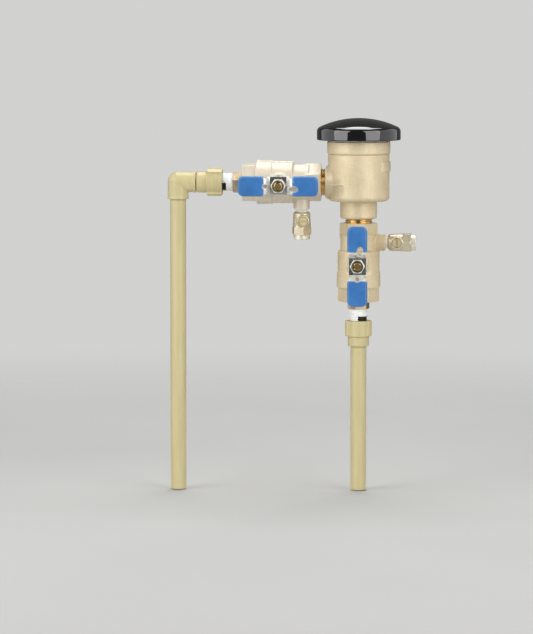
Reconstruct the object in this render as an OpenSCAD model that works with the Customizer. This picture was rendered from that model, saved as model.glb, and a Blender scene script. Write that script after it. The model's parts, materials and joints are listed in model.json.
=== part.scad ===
// Pressure vacuum breaker backflow preventer, 3/4 inch, with its two ball
// valves, two test cocks and the tan plastic risers that plumb it in.
// Millimetres, +Z up, front towards -Y. The origin is the centre of the
// inlet riser's cut lower end.
//
// Both ball valves share one set of modules, drawn in a valve frame: the
// waterway runs down -Z from the casting, the stem points to -Y and the
// test cock to +X. The outlet valve is that frame turned onto its side.

/* [Layout] */
// Height of the outlet centreline above the cut ends of the risers
outlet_z = 308; // [290:1:420]
// Outlet valve's near end, measured from the main axis
outlet_start = 37.4; // [37:0.1:42]
// Inlet valve's near end, measured down from the outlet centreline
inlet_start = 40.4; // [40.2:0.1:45]
// How far the outlet valve is screwed round from square, handle downwards
outlet_roll = 3.4; // [0:0.1:8]
// Taped thread that shows between the inlet reducer and its adapter
inlet_tape_show = 12; // [7:0.1:14]
// Taped thread that shows between the outlet reducer and its adapter
outlet_tape_show = 10.6; // [7:0.1:14]
// Gap between the outlet adapter and the elbow, where the stub pipe shows
stub_gap = 0.8; // [0.5:0.1:4]

/* [Body casting] */
// Outer radius of the casting
body_r = 30.6; // [30.4:0.1:31.2]
// Outer radius of the band round the casting's mouth
band_r = 31.5; // [31.4:0.1:32.6]
// Outer radius of the inlet neck
neck_r = 18.4; // [18:0.1:20]
// Inner radius of the chamber
chamber_r = 25; // [24.8:0.1:25.4]
// Radius of the outlet boss at its face
boss_face_r = 16.4; // [16:0.1:17.5]

/* [Canopy] */
// Outer radius of the canopy
canopy_r = 41.7; // [41:0.1:46]
// Radius of curvature of the canopy's crown
crown_r = 91; // [86:1:110]
// Wall of the canopy
canopy_wall = 2.2; // [1.6:0.1:2.6]

/* [Ball valves] */
// Length of a ball valve
valve_len = 78.5; // [78:0.1:84]
// Across flats of the hexagon at the casting's end
near_hex = 33; // [32:0.1:34]
// Across flats of the hexagon on the tailpiece
tail_hex = 36; // [35:0.1:38]
// Outer radius of the valve's barrel
barrel_r = 20.5; // [20.2:0.1:21]
// Outer radius of the body's end collar
collar_r = 21.4; // [21:0.1:22.5]
// Radius of the ball
ball_r = 14; // [13.8:0.1:14.1]
// Radius of the full-bore waterway
way_r = 9.5; // [9:0.1:9.6]
// Overall length of the tee handle, over its grips
handle_len = 79.6; // [78:0.2:90]
// Width of a handle grip
grip_w = 20; // [19:0.2:22]

/* [Test cocks] */
// Distance from a valve's near end to its test cock
cock_u = 19.4; // [19.2:0.1:19.8]
// Face of the test cock's boss, from the valve's axis
cock_face = 27.2; // [26.8:0.1:28]
// Length of a test cock from the boss's face
cock_len = 30; // [29.5:0.1:31]
// How far the outlet's test cock is turned from facing the front
outlet_cock_turn = 12; // [0:1:20]

/* [Risers and fittings] */
// Outer radius of the riser pipes
pipe_r = 7.95; // [7.95:0.01:8]
// Inner radius of the riser pipes
pipe_bore_r = 6.2; // [5.8:0.1:6.5]
// Radius of the 3/4 inch nipples' threads
nipple_r = 13.35; // [13.2:0.01:13.4]
// Radius of the small taped nipples
small_nipple_r = 8.55; // [8.4:0.01:8.6]
// Across flats of the reducers
reducer_hex = 19.4; // [19.2:0.1:21]
// Length of the inlet reducer's hexagon
inlet_reducer_len = 7.2; // [7:0.1:12]
// Length of the outlet reducer's hexagon
outlet_reducer_len = 9.5; // [7:0.1:12]
// Outer radius of the elbow's legs
elbow_r = 10.3; // [10:0.1:11]
// Length of a threaded adapter
adapter_len = 25.6; // [25.4:0.1:30]

/* [Hidden] */

$fn = 96;
BRONZE = [0.84, 0.77, 0.63];
BRASS = [0.78, 0.63, 0.36];
BLACK_PLASTIC = [0.08, 0.08, 0.08];
WHITE_PLASTIC = [0.9, 0.9, 0.87];
RUBBER = [0.13, 0.13, 0.13];
STEEL = [0.72, 0.72, 0.7];
CHROME = [0.85, 0.86, 0.87];
BLUE_VINYL = [0.25, 0.47, 0.72];
TAN_PLASTIC = [0.83, 0.78, 0.59];
TAPE_WHITE = [0.97, 0.97, 0.96];

eps = 0.1;           // how far a cut runs past the face that it opens
fit_gap = 0.05;      // radial gap of a screwed or cemented joint
run_gap = 0.05;      // radial gap of a running fit

// Casting, with heights from the outlet centreline
neck_end = -36.2;
floor_out = -18.6;   // underside of the chamber's floor
floor_in = -13.5;    // top of the chamber's floor
seat_top = -10.5;    // rim that the check closes on
seat_r = 11.2;
groove_z = 28.2;     // groove under the mouth's band
mouth_z = 41;
boss_face = 32.9;    // outlet boss's face, from the main axis
bonnet_thread_r = 27;
thread_depth = 9;    // how far a close nipple screws in

// Bonnet and its cage
flange_r = 30.5;
flange_top = 45;
seat_plate_z = 31.4; // underside of the air inlet's seat
port_r = 12.2;       // the air inlet's port
guide_r = 3;         // both poppets' guide stems
hub_low = 6;
hub_high = 10;
leg_r = 22.5;        // middle of the cage's legs
boss_low = 37;       // the bonnet's centre guide
boss_high = 45;
o_ring_z = 34.5;
o_ring_r = 25.8;
o_ring_wire = 1.2;

// Check, closed
check_under = -7.9;
check_over = -4.5;
check_r = 16;
check_stem_top = 11;
check_travel = 6;

// Air inlet poppet, hanging open
float_under = 18;
float_over = 22;
float_r = 17;
float_seal_top = 24.2;
float_retainer_top = 25.6;
float_stem_top = 47;
clip_low = 45.2;

// Canopy
rim_z = 42.3;
crown_z = 64.1;
shoulder_r = 5;

// Valve frame: distances u run from the near end along the waterway
near_hex_len = 15;
neck_u = 27;         // where the valve's neck meets its barrel
valve_neck_r = 18.2;
collar_start = 49.1; // the body's end collar, which the tailpiece screws into
collar_end = 64.3;
stem_u = 41.2;
cavity_r = 15.2;
cavity_start = 28;
cavity_end = 54.4;
spigot_r = 17.5;     // the tailpiece's thread
socket_depth = 14;   // pipe thread sockets
tail_socket_u = valve_len - socket_depth;
seat_inner_r = 9.7;
seat_reach = 7;      // how near the seats come to the ball's centre

// Stem stack: distances d run towards the front from the valve's axis
gland_r = 11;
gland_d = 25;
stem_r = 4.5;
shoulder_sz_r = 6.2;
shoulder_d0 = 14.7;
shoulder_d1 = 16.9;
pocket_d = 17.2;     // end of the shoulder's pocket, inside the boss
packing_r = 7.4;
packing_d0 = 20.2;
packing_d1 = 23;
packing_nut_hex = 17;
packing_nut_d = 28.5;
plate_d = 29;        // back of the handle's plate
plate_t = 2.5;
arm_d = 36.5;        // back of the handle's arms
flat_half = 3.2;     // half width across the stem's flats
thread_r = 4;        // handle nut's thread
nut_hex = 13;
nut_d = 38;
stem_end = 39.5;
grip_d0 = 34.4;
grip_d1 = 41;
plate_half = 10.2;   // half length of the handle's plate
web_run = 3.5;       // how far a web runs while it rises to the arm
arm_w = 16;
plate_w = 18;
lock_x = 2.8;        // padlock slot, to one side of the handle's middle
lock_r = 2;
lock_z0 = 12.6;      // centres of the slot's two ends
lock_z1 = 17;
drain_r = 2;         // round hole in the other web
drain_z = 12.6;

// Test cock: distances x run from the valve's axis
cock_neck = 29.3;
cock_hex_x = 44.8;
cock_hex_end = cock_face + cock_len - 4.8;
cock_end = cock_face + cock_len;
cock_r = 8.7;
cock_hex = 17.4;
cock_thread_r = 5.1;
rotor_x = 38.3;
rotor_r = 4.45;
rotor_front = 9.9;
rotor_back = 6.3;
rotor_tail = 9.9;
rotor_tail_r = 2.4;
port_way_r = 2.2;
insert_r = 8.1;
insert_spigot_r = 6;
cock_seal_ys = [-7.2, 5];

// Fittings
small_engage = 10;   // thread engagement of the small nipples
pipe_joint_r = 7.78; // the pipes where they are cemented in
socket_len = 12.4;   // how far a pipe enters an adapter
elbow_socket = 8.8;  // how far a pipe enters the elbow
ring_len = 15.6;     // threaded part of an adapter
ring_r = 12.4;
lug_r = 14.2;
lug_w = 5;
adapter_barrel_r = 10.6;
elbow_leg_x = 18;
elbow_leg_z = 17;
bead_len = 1.6;
inlet_tape_u = valve_len + inlet_reducer_len;
outlet_tape_u = valve_len + outlet_reducer_len;
inlet_adapter_u = inlet_tape_u + inlet_tape_show;
outlet_adapter_u = outlet_tape_u + outlet_tape_show;
inlet_riser_top = outlet_z - inlet_start - inlet_adapter_u - adapter_len;
outlet_pipe_x = outlet_start + outlet_adapter_u + adapter_len + stub_gap + elbow_leg_x;

// Points along an arc about [x, y]
function arc(x, y, r, from, to, steps) =
    [for (i = [0:steps]) let (a = from + (to - from) * i / steps) [x + r * cos(a), y + r * sin(a)]];

// Places things that are drawn in the valve frame
module at_inlet() { translate([0, 0, outlet_z - inlet_start]) children(); }
module at_outlet() {
    translate([-outlet_start, 0, outlet_z]) rotate([outlet_roll, 0, 0]) rotate([0, 90, 0]) children();
}
module at_outlet_cock() {
    at_outlet() translate([0, 0, -cock_u]) rotate([-outlet_cock_turn, 0, 0]) children();
}
module at_inlet_cock() { at_inlet() translate([0, 0, -cock_u]) children(); }
module at_body() { translate([0, 0, outlet_z]) children(); }

// Cylinders along the waterway, towards the front, and towards the test cock
module run(u0, u1, r) { translate([0, 0, -u1]) cylinder(h = u1 - u0, r = r); }
module front(d0, d1, r) { translate([0, -d0, 0]) rotate([90, 0, 0]) cylinder(h = d1 - d0, r = r); }
module side(x0, x1, r) { translate([x0, 0, 0]) rotate([0, 90, 0]) cylinder(h = x1 - x0, r = r); }

// Hexagonal prism with turned corners, flats facing +Y and -Y
module hexagon(across, h, chamfer) {
    corner = across / 2 / cos(30);
    intersection() {
        cylinder(h = h, r = corner, $fn = 6);
        rotate_extrude()
            polygon([[0, 0], [corner - chamfer, 0], [corner + 0.01, chamfer * 0.6],
                     [corner + 0.01, h - chamfer * 0.6], [corner - chamfer, h], [0, h]]);
    }
}

// Round wire wound into a coil about +Z, from z = 0 to z = h
module coil(r, wire, turns, h) {
    sides = 8;
    rings = ceil(turns * 16);
    points = [for (i = [0:rings]) let (a = 360 * turns * i / rings, z = wire + (h - 2 * wire) * i / rings)
        for (j = [0:sides - 1]) let (b = 360 * j / sides, q = r + wire * cos(b))
            [q * cos(a), q * sin(a), z + wire * sin(b)]];
    walls = [for (i = [0:rings - 1]) for (j = [0:sides - 1]) let (k = (j + 1) % sides)
        [i * sides + j, (i + 1) * sides + j, (i + 1) * sides + k, i * sides + k]];
    ends = [[for (j = [0:sides - 1]) j], [for (j = [sides - 1:-1:0]) rings * sides + j]];
    polyhedron(points, concat(walls, ends), convexity = 10);
}

// Turned ring with a round section about +Z
module o_ring(r, wire) { rotate_extrude() translate([r, 0]) circle(r = wire, $fn = 24); }

// ---------------------------------------------------------------- casting

module pvb_body() {
    outline = concat(
        [[0, neck_end], [neck_r - 1.8, neck_end], [neck_r, neck_end + 1.6], [neck_r, floor_out - 0.8],
         [neck_r + 1, floor_out]],
        arc(body_r - 4.5, floor_out + 4.5, 4.5, -90, 0, 5),
        [[body_r, groove_z - 0.5], [body_r - 0.6, groove_z], [body_r - 0.6, groove_z + 0.6],
         [band_r - 0.3, groove_z + 0.9], [band_r, groove_z + 1.4], [band_r, mouth_z - 0.6],
         [band_r - 0.6, mouth_z], [0, mouth_z]]);
    color(BRONZE) at_body() difference() {
        union() {
            rotate_extrude() polygon(outline);
            translate([-boss_face, 0, 0]) rotate([0, 90, 0]) rotate_extrude()
                polygon([[0, 0], [boss_face_r - 1.2, 0], [boss_face_r, 1.2], [19, 10], [19, 14], [0, 14]]);
            casting_pad();
        }
        translate([0, 0, groove_z]) cylinder(h = mouth_z, r = bonnet_thread_r + fit_gap);
        difference() {
            translate([0, 0, floor_in]) cylinder(h = groove_z - floor_in + eps, r = chamber_r);
            translate([0, 0, floor_in - eps]) cylinder(h = seat_top - floor_in + eps, r = seat_r + 2.6);
        }
        translate([0, 0, neck_end + thread_depth + 2]) cylinder(h = 40, r = seat_r);
        translate([0, 0, neck_end - eps]) cylinder(h = thread_depth + 2 + 2 * eps, r = nipple_r + fit_gap);
        translate([-boss_face - eps, 0, 0]) rotate([0, 90, 0]) cylinder(h = 16, r = nipple_r + fit_gap);
    }
}

// Raised cast pad on the side away from the outlet
module casting_pad() {
    pad_half = 20;
    intersection() {
        translate([0, 0, 11]) cylinder(h = 10.2, r = body_r + 1.1);
        translate([chamber_r - 3, -pad_half, 10]) cube([20, 2 * pad_half, 12]);
    }
}

module inlet_close_nipple() {
    color(BRASS) at_body() difference() {
        translate([0, 0, -inlet_start - thread_depth])
            cylinder(h = inlet_start + thread_depth + neck_end + thread_depth, r = nipple_r);
        translate([0, 0, -inlet_start - thread_depth - eps]) cylinder(h = 40, r = 10.4);
    }
}

module outlet_close_nipple() {
    start = boss_face - 7.2;
    color(BRASS) at_body() difference() {
        side(-outlet_start - thread_depth, -start, nipple_r);
        side(-outlet_start - thread_depth - eps, 0, 10.4);
    }
}

// ------------------------------------------------- bonnet and its cage

module bonnet() {
    skirt_low = 29.5;
    bowl_r = 22;
    color(WHITE_PLASTIC) at_body() {
        difference() {
            union() {
                translate([0, 0, skirt_low]) cylinder(h = mouth_z - skirt_low + 1, r = bonnet_thread_r);
                translate([0, 0, mouth_z + fit_gap])
                    cylinder(h = flange_top - mouth_z - fit_gap, r = flange_r);
            }
            translate([0, 0, seat_plate_z + 3]) cylinder(h = 20, r = bowl_r);
            translate([0, 0, skirt_low - eps]) cylinder(h = 20, r = port_r);
            translate([0, 0, skirt_low - eps])
                cylinder(h = seat_plate_z - skirt_low + eps, r = leg_r - 3);
            translate([0, 0, o_ring_z - 1.3]) difference() {
                cylinder(h = 2.6, r = bonnet_thread_r + 1);
                translate([0, 0, -eps]) cylinder(h = 3, r = o_ring_r - o_ring_wire - fit_gap);
            }
        }
        bonnet_guide(bowl_r);
        bonnet_cage(skirt_low);
    }
}

// Spider that guides the air inlet poppet's stem
module bonnet_guide(bowl_r) {
    difference() {
        union() {
            translate([0, 0, boss_low]) cylinder(h = boss_high - boss_low, r = 5.6);
            for (a = [90, 210, 330])
                rotate([0, 0, a]) translate([4, -1.6, boss_low + 1]) cube([bowl_r - 3.4, 3.2, 5]);
        }
        translate([0, 0, boss_low - eps]) cylinder(h = boss_high, r = guide_r + run_gap);
    }
}

// Legs and hub that guide the check's stem
module bonnet_cage(skirt_low) {
    difference() {
        union() {
            for (a = [90, 210, 330]) rotate([0, 0, a]) {
                translate([leg_r - 1.5, -3, hub_low]) cube([3, 6, skirt_low - hub_low + 1]);
                translate([4, -1.5, hub_low]) cube([leg_r - 3, 3, hub_high - hub_low]);
            }
            translate([0, 0, hub_low]) cylinder(h = hub_high - hub_low, r = 6.5);
        }
        translate([0, 0, hub_low - eps]) cylinder(h = 10, r = guide_r + run_gap);
    }
}

module bonnet_o_ring() { color(RUBBER) at_body() translate([0, 0, o_ring_z]) o_ring(o_ring_r, o_ring_wire); }

// --------------------------------------------------------------- canopy

// Half section of the canopy's outside, pulled in by a wall's thickness
function canopy_outline(wall) =
    let (edge = canopy_r - shoulder_r + 1.2, fall = asin(edge / crown_r), drop = crown_r * (1 - cos(fall)),
         turn_r = shoulder_r - wall)
    concat([[0, rim_z - eps * sign(wall)]],
           [[canopy_r - wall, rim_z - eps * sign(wall)]],
           arc(canopy_r - shoulder_r, crown_z - drop - shoulder_r, turn_r, 0, 90 - fall, 6),
           arc(0, crown_z - crown_r, crown_r - wall, 90 - fall + 1, 90, 10));

module canopy() {
    post_r = 27.5;
    color(BLACK_PLASTIC) at_body() {
        difference() {
            rotate_extrude() polygon(canopy_outline(0));
            rotate_extrude() polygon(canopy_outline(canopy_wall));
        }
        for (a = [45:90:315]) rotate([0, 0, a])
            translate([post_r - 1.5, -3, flange_top + fit_gap]) cube([3, 6, 12.6]);
    }
}

// ---------------------------------------------------------------- check

module check_poppet() {
    color(WHITE_PLASTIC) at_body() difference() {
        union() {
            translate([0, 0, check_under - 1]) cylinder(h = check_over - check_under + 1, r = check_r);
            translate([0, 0, check_over]) cylinder(h = check_stem_top - check_over, r = guide_r);
        }
        translate([0, 0, check_under - 2]) cylinder(h = 2, r = check_r - 0.9);
        translate([0, 0, check_under - eps]) cylinder(h = 4, r = 1.55);
    }
}

module check_seal() {
    color(RUBBER) at_body() difference() {
        translate([0, 0, seat_top + fit_gap]) cylinder(h = check_under - seat_top - fit_gap, r = check_r - 1);
        translate([0, 0, seat_top - eps]) cylinder(h = 5, r = 1.55);
    }
}

// Screw and washer that clamp the check's seal
module check_seal_screw() {
    color(STEEL) at_body() {
        translate([0, 0, seat_top - 1]) cylinder(h = 1, r = 7.5);
        difference() {
            translate([0, 0, seat_top - 3]) cylinder(h = 2.5, r = 3.6);
            translate([-0.5, -5, seat_top - 3.1]) cube([1, 10, 1.3]);
        }
        translate([0, 0, seat_top - 1]) cylinder(h = 5.4, r = 1.5);
    }
}

module check_spring() {
    color(STEEL) at_body() translate([0, 0, check_over + fit_gap])
        coil(5, 0.5, 3.5, hub_low - check_over - 2 * fit_gap);
}

// ----------------------------------------------------- air inlet poppet

module air_inlet_poppet() {
    color(WHITE_PLASTIC) at_body() {
        difference() {
            translate([0, 0, float_under]) cylinder(h = float_over - float_under, r = float_r);
            translate([0, 0, float_under - eps]) cylinder(h = 2, r = float_r - 3);
        }
        translate([0, 0, float_over - 1]) cylinder(h = float_stem_top - float_over + 1, r = guide_r - 0.01);
    }
}

module air_inlet_seal() {
    color(RUBBER) at_body() difference() {
        translate([0, 0, float_over]) cylinder(h = float_seal_top - float_over, r = float_r - 0.4);
        translate([0, 0, float_over - eps]) cylinder(h = 4, r = guide_r + fit_gap);
    }
}

module air_inlet_retainer() {
    color(STEEL) at_body() difference() {
        translate([0, 0, float_seal_top]) cylinder(h = float_retainer_top - float_seal_top, r = 11.2);
        translate([0, 0, float_seal_top - eps]) cylinder(h = 4, r = guide_r + fit_gap);
    }
}

// Spring clip that stops the poppet from dropping out of its guide
module air_inlet_stem_clip() {
    color(STEEL) at_body() difference() {
        translate([0, 0, clip_low]) cylinder(h = 1, r = 5);
        translate([0, 0, clip_low - eps]) cylinder(h = 2, r = guide_r + fit_gap);
        translate([guide_r - 0.6, -1.2, clip_low - eps]) cube([5, 2.4, 2]);
    }
}

module air_inlet_spring() {
    color(STEEL) at_body() translate([0, 0, float_retainer_top + fit_gap])
        coil(4.6, 0.4, 4, boss_low - float_retainer_top - 2 * fit_gap);
}

// ---------------------------------------------------------- ball valves

module valve_body() {
    color(BRONZE) difference() {
        union() {
            translate([0, 0, -near_hex_len]) hexagon(near_hex, near_hex_len, 1.4);
            run(near_hex_len - 1, neck_u + 1, valve_neck_r);
            run(neck_u, collar_start + 1, barrel_r);
            end_collar();
            translate([0, 0, -stem_u]) {
                front(10, gland_d, gland_r);
                stop_lug();
            }
            translate([0, 0, -cock_u]) {
                side(10, cock_face - 1, 7.7);
                translate([cock_face - 1, 0, 0]) rotate([0, 90, 0]) cylinder(h = 1, r1 = 7.7, r2 = 6.9);
            }
        }
        run(-eps, thread_depth + 5, nipple_r + fit_gap);
        run(thread_depth + 4, cavity_start + eps, way_r);
        run(cavity_start, cavity_end + eps, cavity_r);
        run(cavity_end, collar_end + eps, spigot_r + fit_gap);
        translate([0, 0, -stem_u]) {
            front(10, pocket_d, shoulder_sz_r + 0.2);
            front(10, gland_d + eps, stem_r + run_gap);
            front(packing_d0, gland_d + eps, packing_r + fit_gap);
        }
        translate([0, 0, -cock_u]) {
            side(5, cock_face, port_way_r);
            side(17.5, cock_face + eps, cock_thread_r + fit_gap);
        }
    }
}

// Cast lug beside the stem, ending just behind the handle's plate
module stop_lug() {
    translate([9.6, -plate_d + 0.5, -10]) cube([4.2, plate_d - 11, 3]);
    translate([6, -gland_d + 1, -10]) cube([4, 10, 3]);
}

module end_collar() {
    len = collar_end - collar_start;
    translate([0, 0, -collar_end]) rotate_extrude()
        polygon([[0, 0], [collar_r - 0.5, 0], [collar_r, 0.5], [collar_r, len - 0.5],
                 [collar_r - 0.5, len], [0, len]]);
}

// Hexagonal end that screws into the collar and holds the seats against the ball
module valve_tailpiece(turn) {
    hex_start = collar_end + fit_gap;
    color(BRONZE) difference() {
        union() {
            run(cavity_end + 0.02, hex_start + 1, spigot_r);
            translate([0, 0, -valve_len]) rotate([0, 0, turn]) hexagon(tail_hex, valve_len - hex_start, 1.6);
        }
        run(cavity_end - 1, valve_len, way_r);
        run(tail_socket_u, valve_len + eps, nipple_r + fit_gap);
    }
}

module valve_ball() {
    color(CHROME) translate([0, 0, -stem_u]) difference() {
        sphere(r = ball_r);
        translate([0, 0, -ball_r]) cylinder(h = 2 * ball_r, r = way_r);
        translate([-2.6, -ball_r - 1, -ball_r]) cube([5.2, 3.8, 2 * ball_r]);
    }
}

// Ring seats on both sides of the ball
module valve_seats() {
    half_len = (cavity_end - cavity_start) / 2 - fit_gap;
    color(TAPE_WHITE) translate([0, 0, -stem_u]) for (flip = [0, 1]) mirror([0, 0, flip]) difference() {
        translate([0, 0, seat_reach]) cylinder(h = half_len - seat_reach, r = cavity_r - fit_gap);
        cylinder(h = half_len + 1, r = seat_inner_r);
        sphere(r = ball_r + run_gap);
    }
}

module valve_stem() {
    tang_d = 11.4;
    color(BRASS) translate([0, 0, -stem_u]) {
        intersection() {
            translate([-2.5, -shoulder_d0 - 0.5, -5]) cube([5, shoulder_d0 - tang_d + 0.5, 10]);
            front(tang_d, shoulder_d0 + 0.5, 5.4);
        }
        front(shoulder_d0, shoulder_d1, shoulder_sz_r);
        front(shoulder_d1 - 0.2, plate_d - 0.1, stem_r);
        intersection() {
            union() {
                front(plate_d - 0.3, plate_d + plate_t, stem_r);
                front(plate_d, stem_end, thread_r);
            }
            translate([-flat_half, -45, -10]) cube([2 * flat_half, 25, 20]);
        }
    }
}

// Thrust washer under the stem's shoulder and the packing ring
module valve_packing() {
    color(TAPE_WHITE) translate([0, 0, -stem_u]) {
        difference() {
            front(shoulder_d1 + 0.02, pocket_d - 0.02, shoulder_sz_r);
            front(0, 40, stem_r + run_gap);
        }
        difference() {
            front(packing_d0 + 0.02, packing_d1, packing_r);
            front(0, 40, stem_r + run_gap);
        }
    }
}

module valve_packing_nut() {
    color(BRASS) translate([0, 0, -stem_u]) difference() {
        union() {
            front(packing_d1 + 0.02, gland_d + 0.5, packing_r);
            translate([0, -gland_d - 0.05, 0]) rotate([90, 0, 0])
                hexagon(packing_nut_hex, packing_nut_d - gland_d, 0.8);
        }
        front(0, 40, stem_r + run_gap);
    }
}

// Side outline of the tee handle's strip: plate, rising webs and arms
module handle_strip() {
    tip = handle_len / 2 - 2.2;
    top = arm_d + plate_t;
    half = [[-arm_d, tip], [-arm_d, plate_half + web_run + 0.3], [-plate_d, plate_half + 0.3]];
    back = [[-plate_d - plate_t, plate_half - 0.8], [-top, plate_half + web_run - 0.8], [-top, tip]];
    polygon(concat(half, [for (i = [2:-1:0]) [half[i][0], -half[i][1]]],
                   [for (i = [2:-1:0]) [back[i][0], -back[i][1]]], back));
}

module across(width) {
    translate([-width / 2, 0, 0]) rotate([90, 0, 90]) linear_extrude(width) children();
}

// Padlock slot near the casting's end of the handle, as a cutter
module lock_slot(r, d0, d1) {
    for (z = [lock_z0, lock_z1]) translate([lock_x, 0, z]) front(d0, d1, r);
    translate([lock_x - r, -d1, lock_z0]) cube([2 * r, d1 - d0, lock_z1 - lock_z0]);
}

module valve_handle() {
    color(STEEL) translate([0, 0, -stem_u]) difference() {
        union() {
            across(arm_w) handle_strip();
            translate([-plate_w / 2, -plate_d - plate_t, -plate_half])
                cube([plate_w, plate_t, 2 * plate_half]);
            translate([lock_x, 0, lock_z0]) front(arm_d, arm_d + plate_t, lock_r + 1.4);
        }
        intersection() {
            front(plate_d - 1, plate_d + plate_t + 1, stem_r + run_gap);
            translate([-flat_half - run_gap, -40, -10]) cube([2 * (flat_half + run_gap), 20, 20]);
        }
        lock_slot(lock_r, plate_d - 3, arm_d + 5);
        translate([0, 0, -drain_z]) front(plate_d - 3, arm_d + 5, drain_r);
    }
}

// Dipped vinyl sleeves on the handle's arms
module valve_grips() {
    color(BLUE_VINYL) translate([0, 0, -stem_u]) difference() {
        for (turn = [0, 180]) rotate([0, turn, 0]) grip();
        lock_slot(lock_r + 0.6, grip_d0 - 1, grip_d1 + 1);
        translate([0, 0, -drain_z]) front(grip_d0 - 1, grip_d1 + 1, drain_r + 0.8);
    }
}

module grip() {
    inner = plate_half + web_run + 0.35;
    outer = handle_len / 2;
    round_r = 5.5;
    difference() {
        hull() for (x = [-1, 1]) {
            translate([x * (grip_w / 2 - round_r), 0, outer - round_r])
                front(grip_d0, grip_d1, round_r, $fn = 32);
            translate([x * (grip_w / 2 - 2), 0, inner + 2])
                front(grip_d0, grip_d1, 2, $fn = 32);
        }
        translate([-arm_w / 2 - fit_gap, -arm_d - plate_t - fit_gap, 0])
            cube([arm_w + 2 * fit_gap, plate_t + 2 * fit_gap, outer - 2.2 + fit_gap]);
    }
}

module valve_handle_nut(turn) {
    color(STEEL) translate([0, 0, -stem_u]) difference() {
        translate([0, -plate_d - plate_t - 0.02, 0]) rotate([90, turn, 0])
            hexagon(nut_hex, nut_d - plate_d - plate_t, 0.7);
        front(plate_d, 50, thread_r + fit_gap);
        translate([0, -nut_d - 0.01, 0]) rotate([-90, 0, 0])
            cylinder(h = 1.1, r1 = thread_r + 1.1, r2 = thread_r);
    }
}

// ----------------------------------------------------------- test cocks

// Each test cock is drawn along +X from the valve's axis, facing -Y

module cock_body() {
    color(BRONZE) difference() {
        union() {
            side(18, cock_neck + 1, cock_thread_r);
            translate([cock_neck, 0, 0]) rotate([0, 90, 0]) cylinder(h = 1.6, r1 = 6.8, r2 = cock_r - 0.2);
            translate([cock_neck + 1.6, 0, 0]) rotate([0, 90, 0])
                cylinder(h = cock_hex_x - cock_neck - 1.6, r1 = cock_r - 0.2, r2 = cock_r + 0.2);
            translate([cock_hex_x - 0.01, 0, 0]) rotate([0, 90, 0]) rotate([0, 0, 90])
                hexagon(cock_hex, cock_hex_end - cock_hex_x, 0.8);
            translate([rotor_x, 0, 0]) {
                front(0, rotor_front - 0.4, 6);
                front(-8.7, 0, 5.6);
            }
        }
        translate([rotor_x, 0, 0]) {
            front(-rotor_back - 0.1, 20, rotor_r + run_gap);
            front(-20, 0, rotor_tail_r + run_gap);
        }
        side(17, cock_hex_end + 1, port_way_r);
        side(cock_hex_end - 6.4, cock_hex_end + eps, insert_spigot_r + fit_gap);
    }
}

// Quarter-turn plug, closed: its port and screwdriver slot lie across the flow
module cock_rotor() {
    color(BRASS) translate([rotor_x, 0, 0]) difference() {
        union() {
            front(-rotor_back, rotor_front, rotor_r);
            front(-rotor_tail, -rotor_back + 1, rotor_tail_r);
        }
        translate([0, 0, -10]) cylinder(h = 20, r = port_way_r);
        translate([-0.7, -rotor_front - eps, -10]) cube([1.4, 1.7, 20]);
        for (y = cock_seal_ys) difference() {
            front(-y - 0.6, -y + 0.6, rotor_r + 1);
            front(-y - 1, -y + 1, rotor_r - 1.15);
        }
    }
}

module cock_rotor_seals() {
    color(RUBBER) translate([rotor_x, 0, 0]) for (y = cock_seal_ys)
        translate([0, y, 0]) rotate([90, 0, 0]) o_ring(rotor_r - 0.57, 0.54);
}

module cock_rotor_clip() {
    color(STEEL) translate([rotor_x, 0, 0]) difference() {
        front(-9.6, -9, 4.4);
        front(-10, -8, rotor_tail_r + fit_gap);
        translate([1.6, 8, -0.9]) cube([4, 2, 1.8]);
    }
}

module cock_outlet_insert() {
    color(BRASS) difference() {
        union() {
            side(cock_hex_end - 6.3, cock_hex_end + 1, insert_spigot_r);
            side(cock_hex_end + fit_gap, cock_end - 0.6, insert_r);
            translate([cock_end - 0.6, 0, 0]) rotate([0, 90, 0])
                cylinder(h = 0.6, r1 = insert_r, r2 = insert_r - 0.6);
        }
        side(cock_hex_end - 7, cock_end, port_way_r);
        side(cock_end - 8, cock_end + eps, cock_thread_r);
    }
}

// Sealing tape that shows on the thread between the boss and the test cock
module cock_thread_tape() {
    color(TAPE_WHITE) difference() {
        side(cock_face + 0.04, cock_neck - 0.04, cock_thread_r + 0.5);
        side(cock_face - 1, cock_neck + 1, cock_thread_r + fit_gap);
    }
}

// ------------------------------------------------------------- fittings

module reducer(end) {
    color(BRASS) difference() {
        union() {
            run(tail_socket_u + 1.5, valve_len + 0.5, nipple_r);
            translate([0, 0, -end]) rotate([0, 0, 14.6]) hexagon(reducer_hex, end - valve_len, 0.7);
        }
        run(tail_socket_u, end, pipe_bore_r);
        run(end - small_engage, end + eps, small_nipple_r + fit_gap);
    }
}

module small_nipple(start, show) {
    color(STEEL) difference() {
        run(start - small_engage + 0.2, start + show + small_engage - 0.2, small_nipple_r);
        run(start - small_engage, start + show + small_engage, pipe_bore_r);
    }
}

// Sealing tape: whole turns near the reducer, then half of the last turn
module thread_tape(start, show) {
    top = start + 0.03;
    step = start + show * 0.6;
    tape_t = 0.4;
    color(TAPE_WHITE) difference() {
        run(top, start + show - 0.03, small_nipple_r + fit_gap + tape_t);
        run(start - eps, start + show, small_nipple_r + fit_gap);
        translate([0, -15, -start - show]) cube([30, 30, start + show - step]);
    }
}

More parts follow.
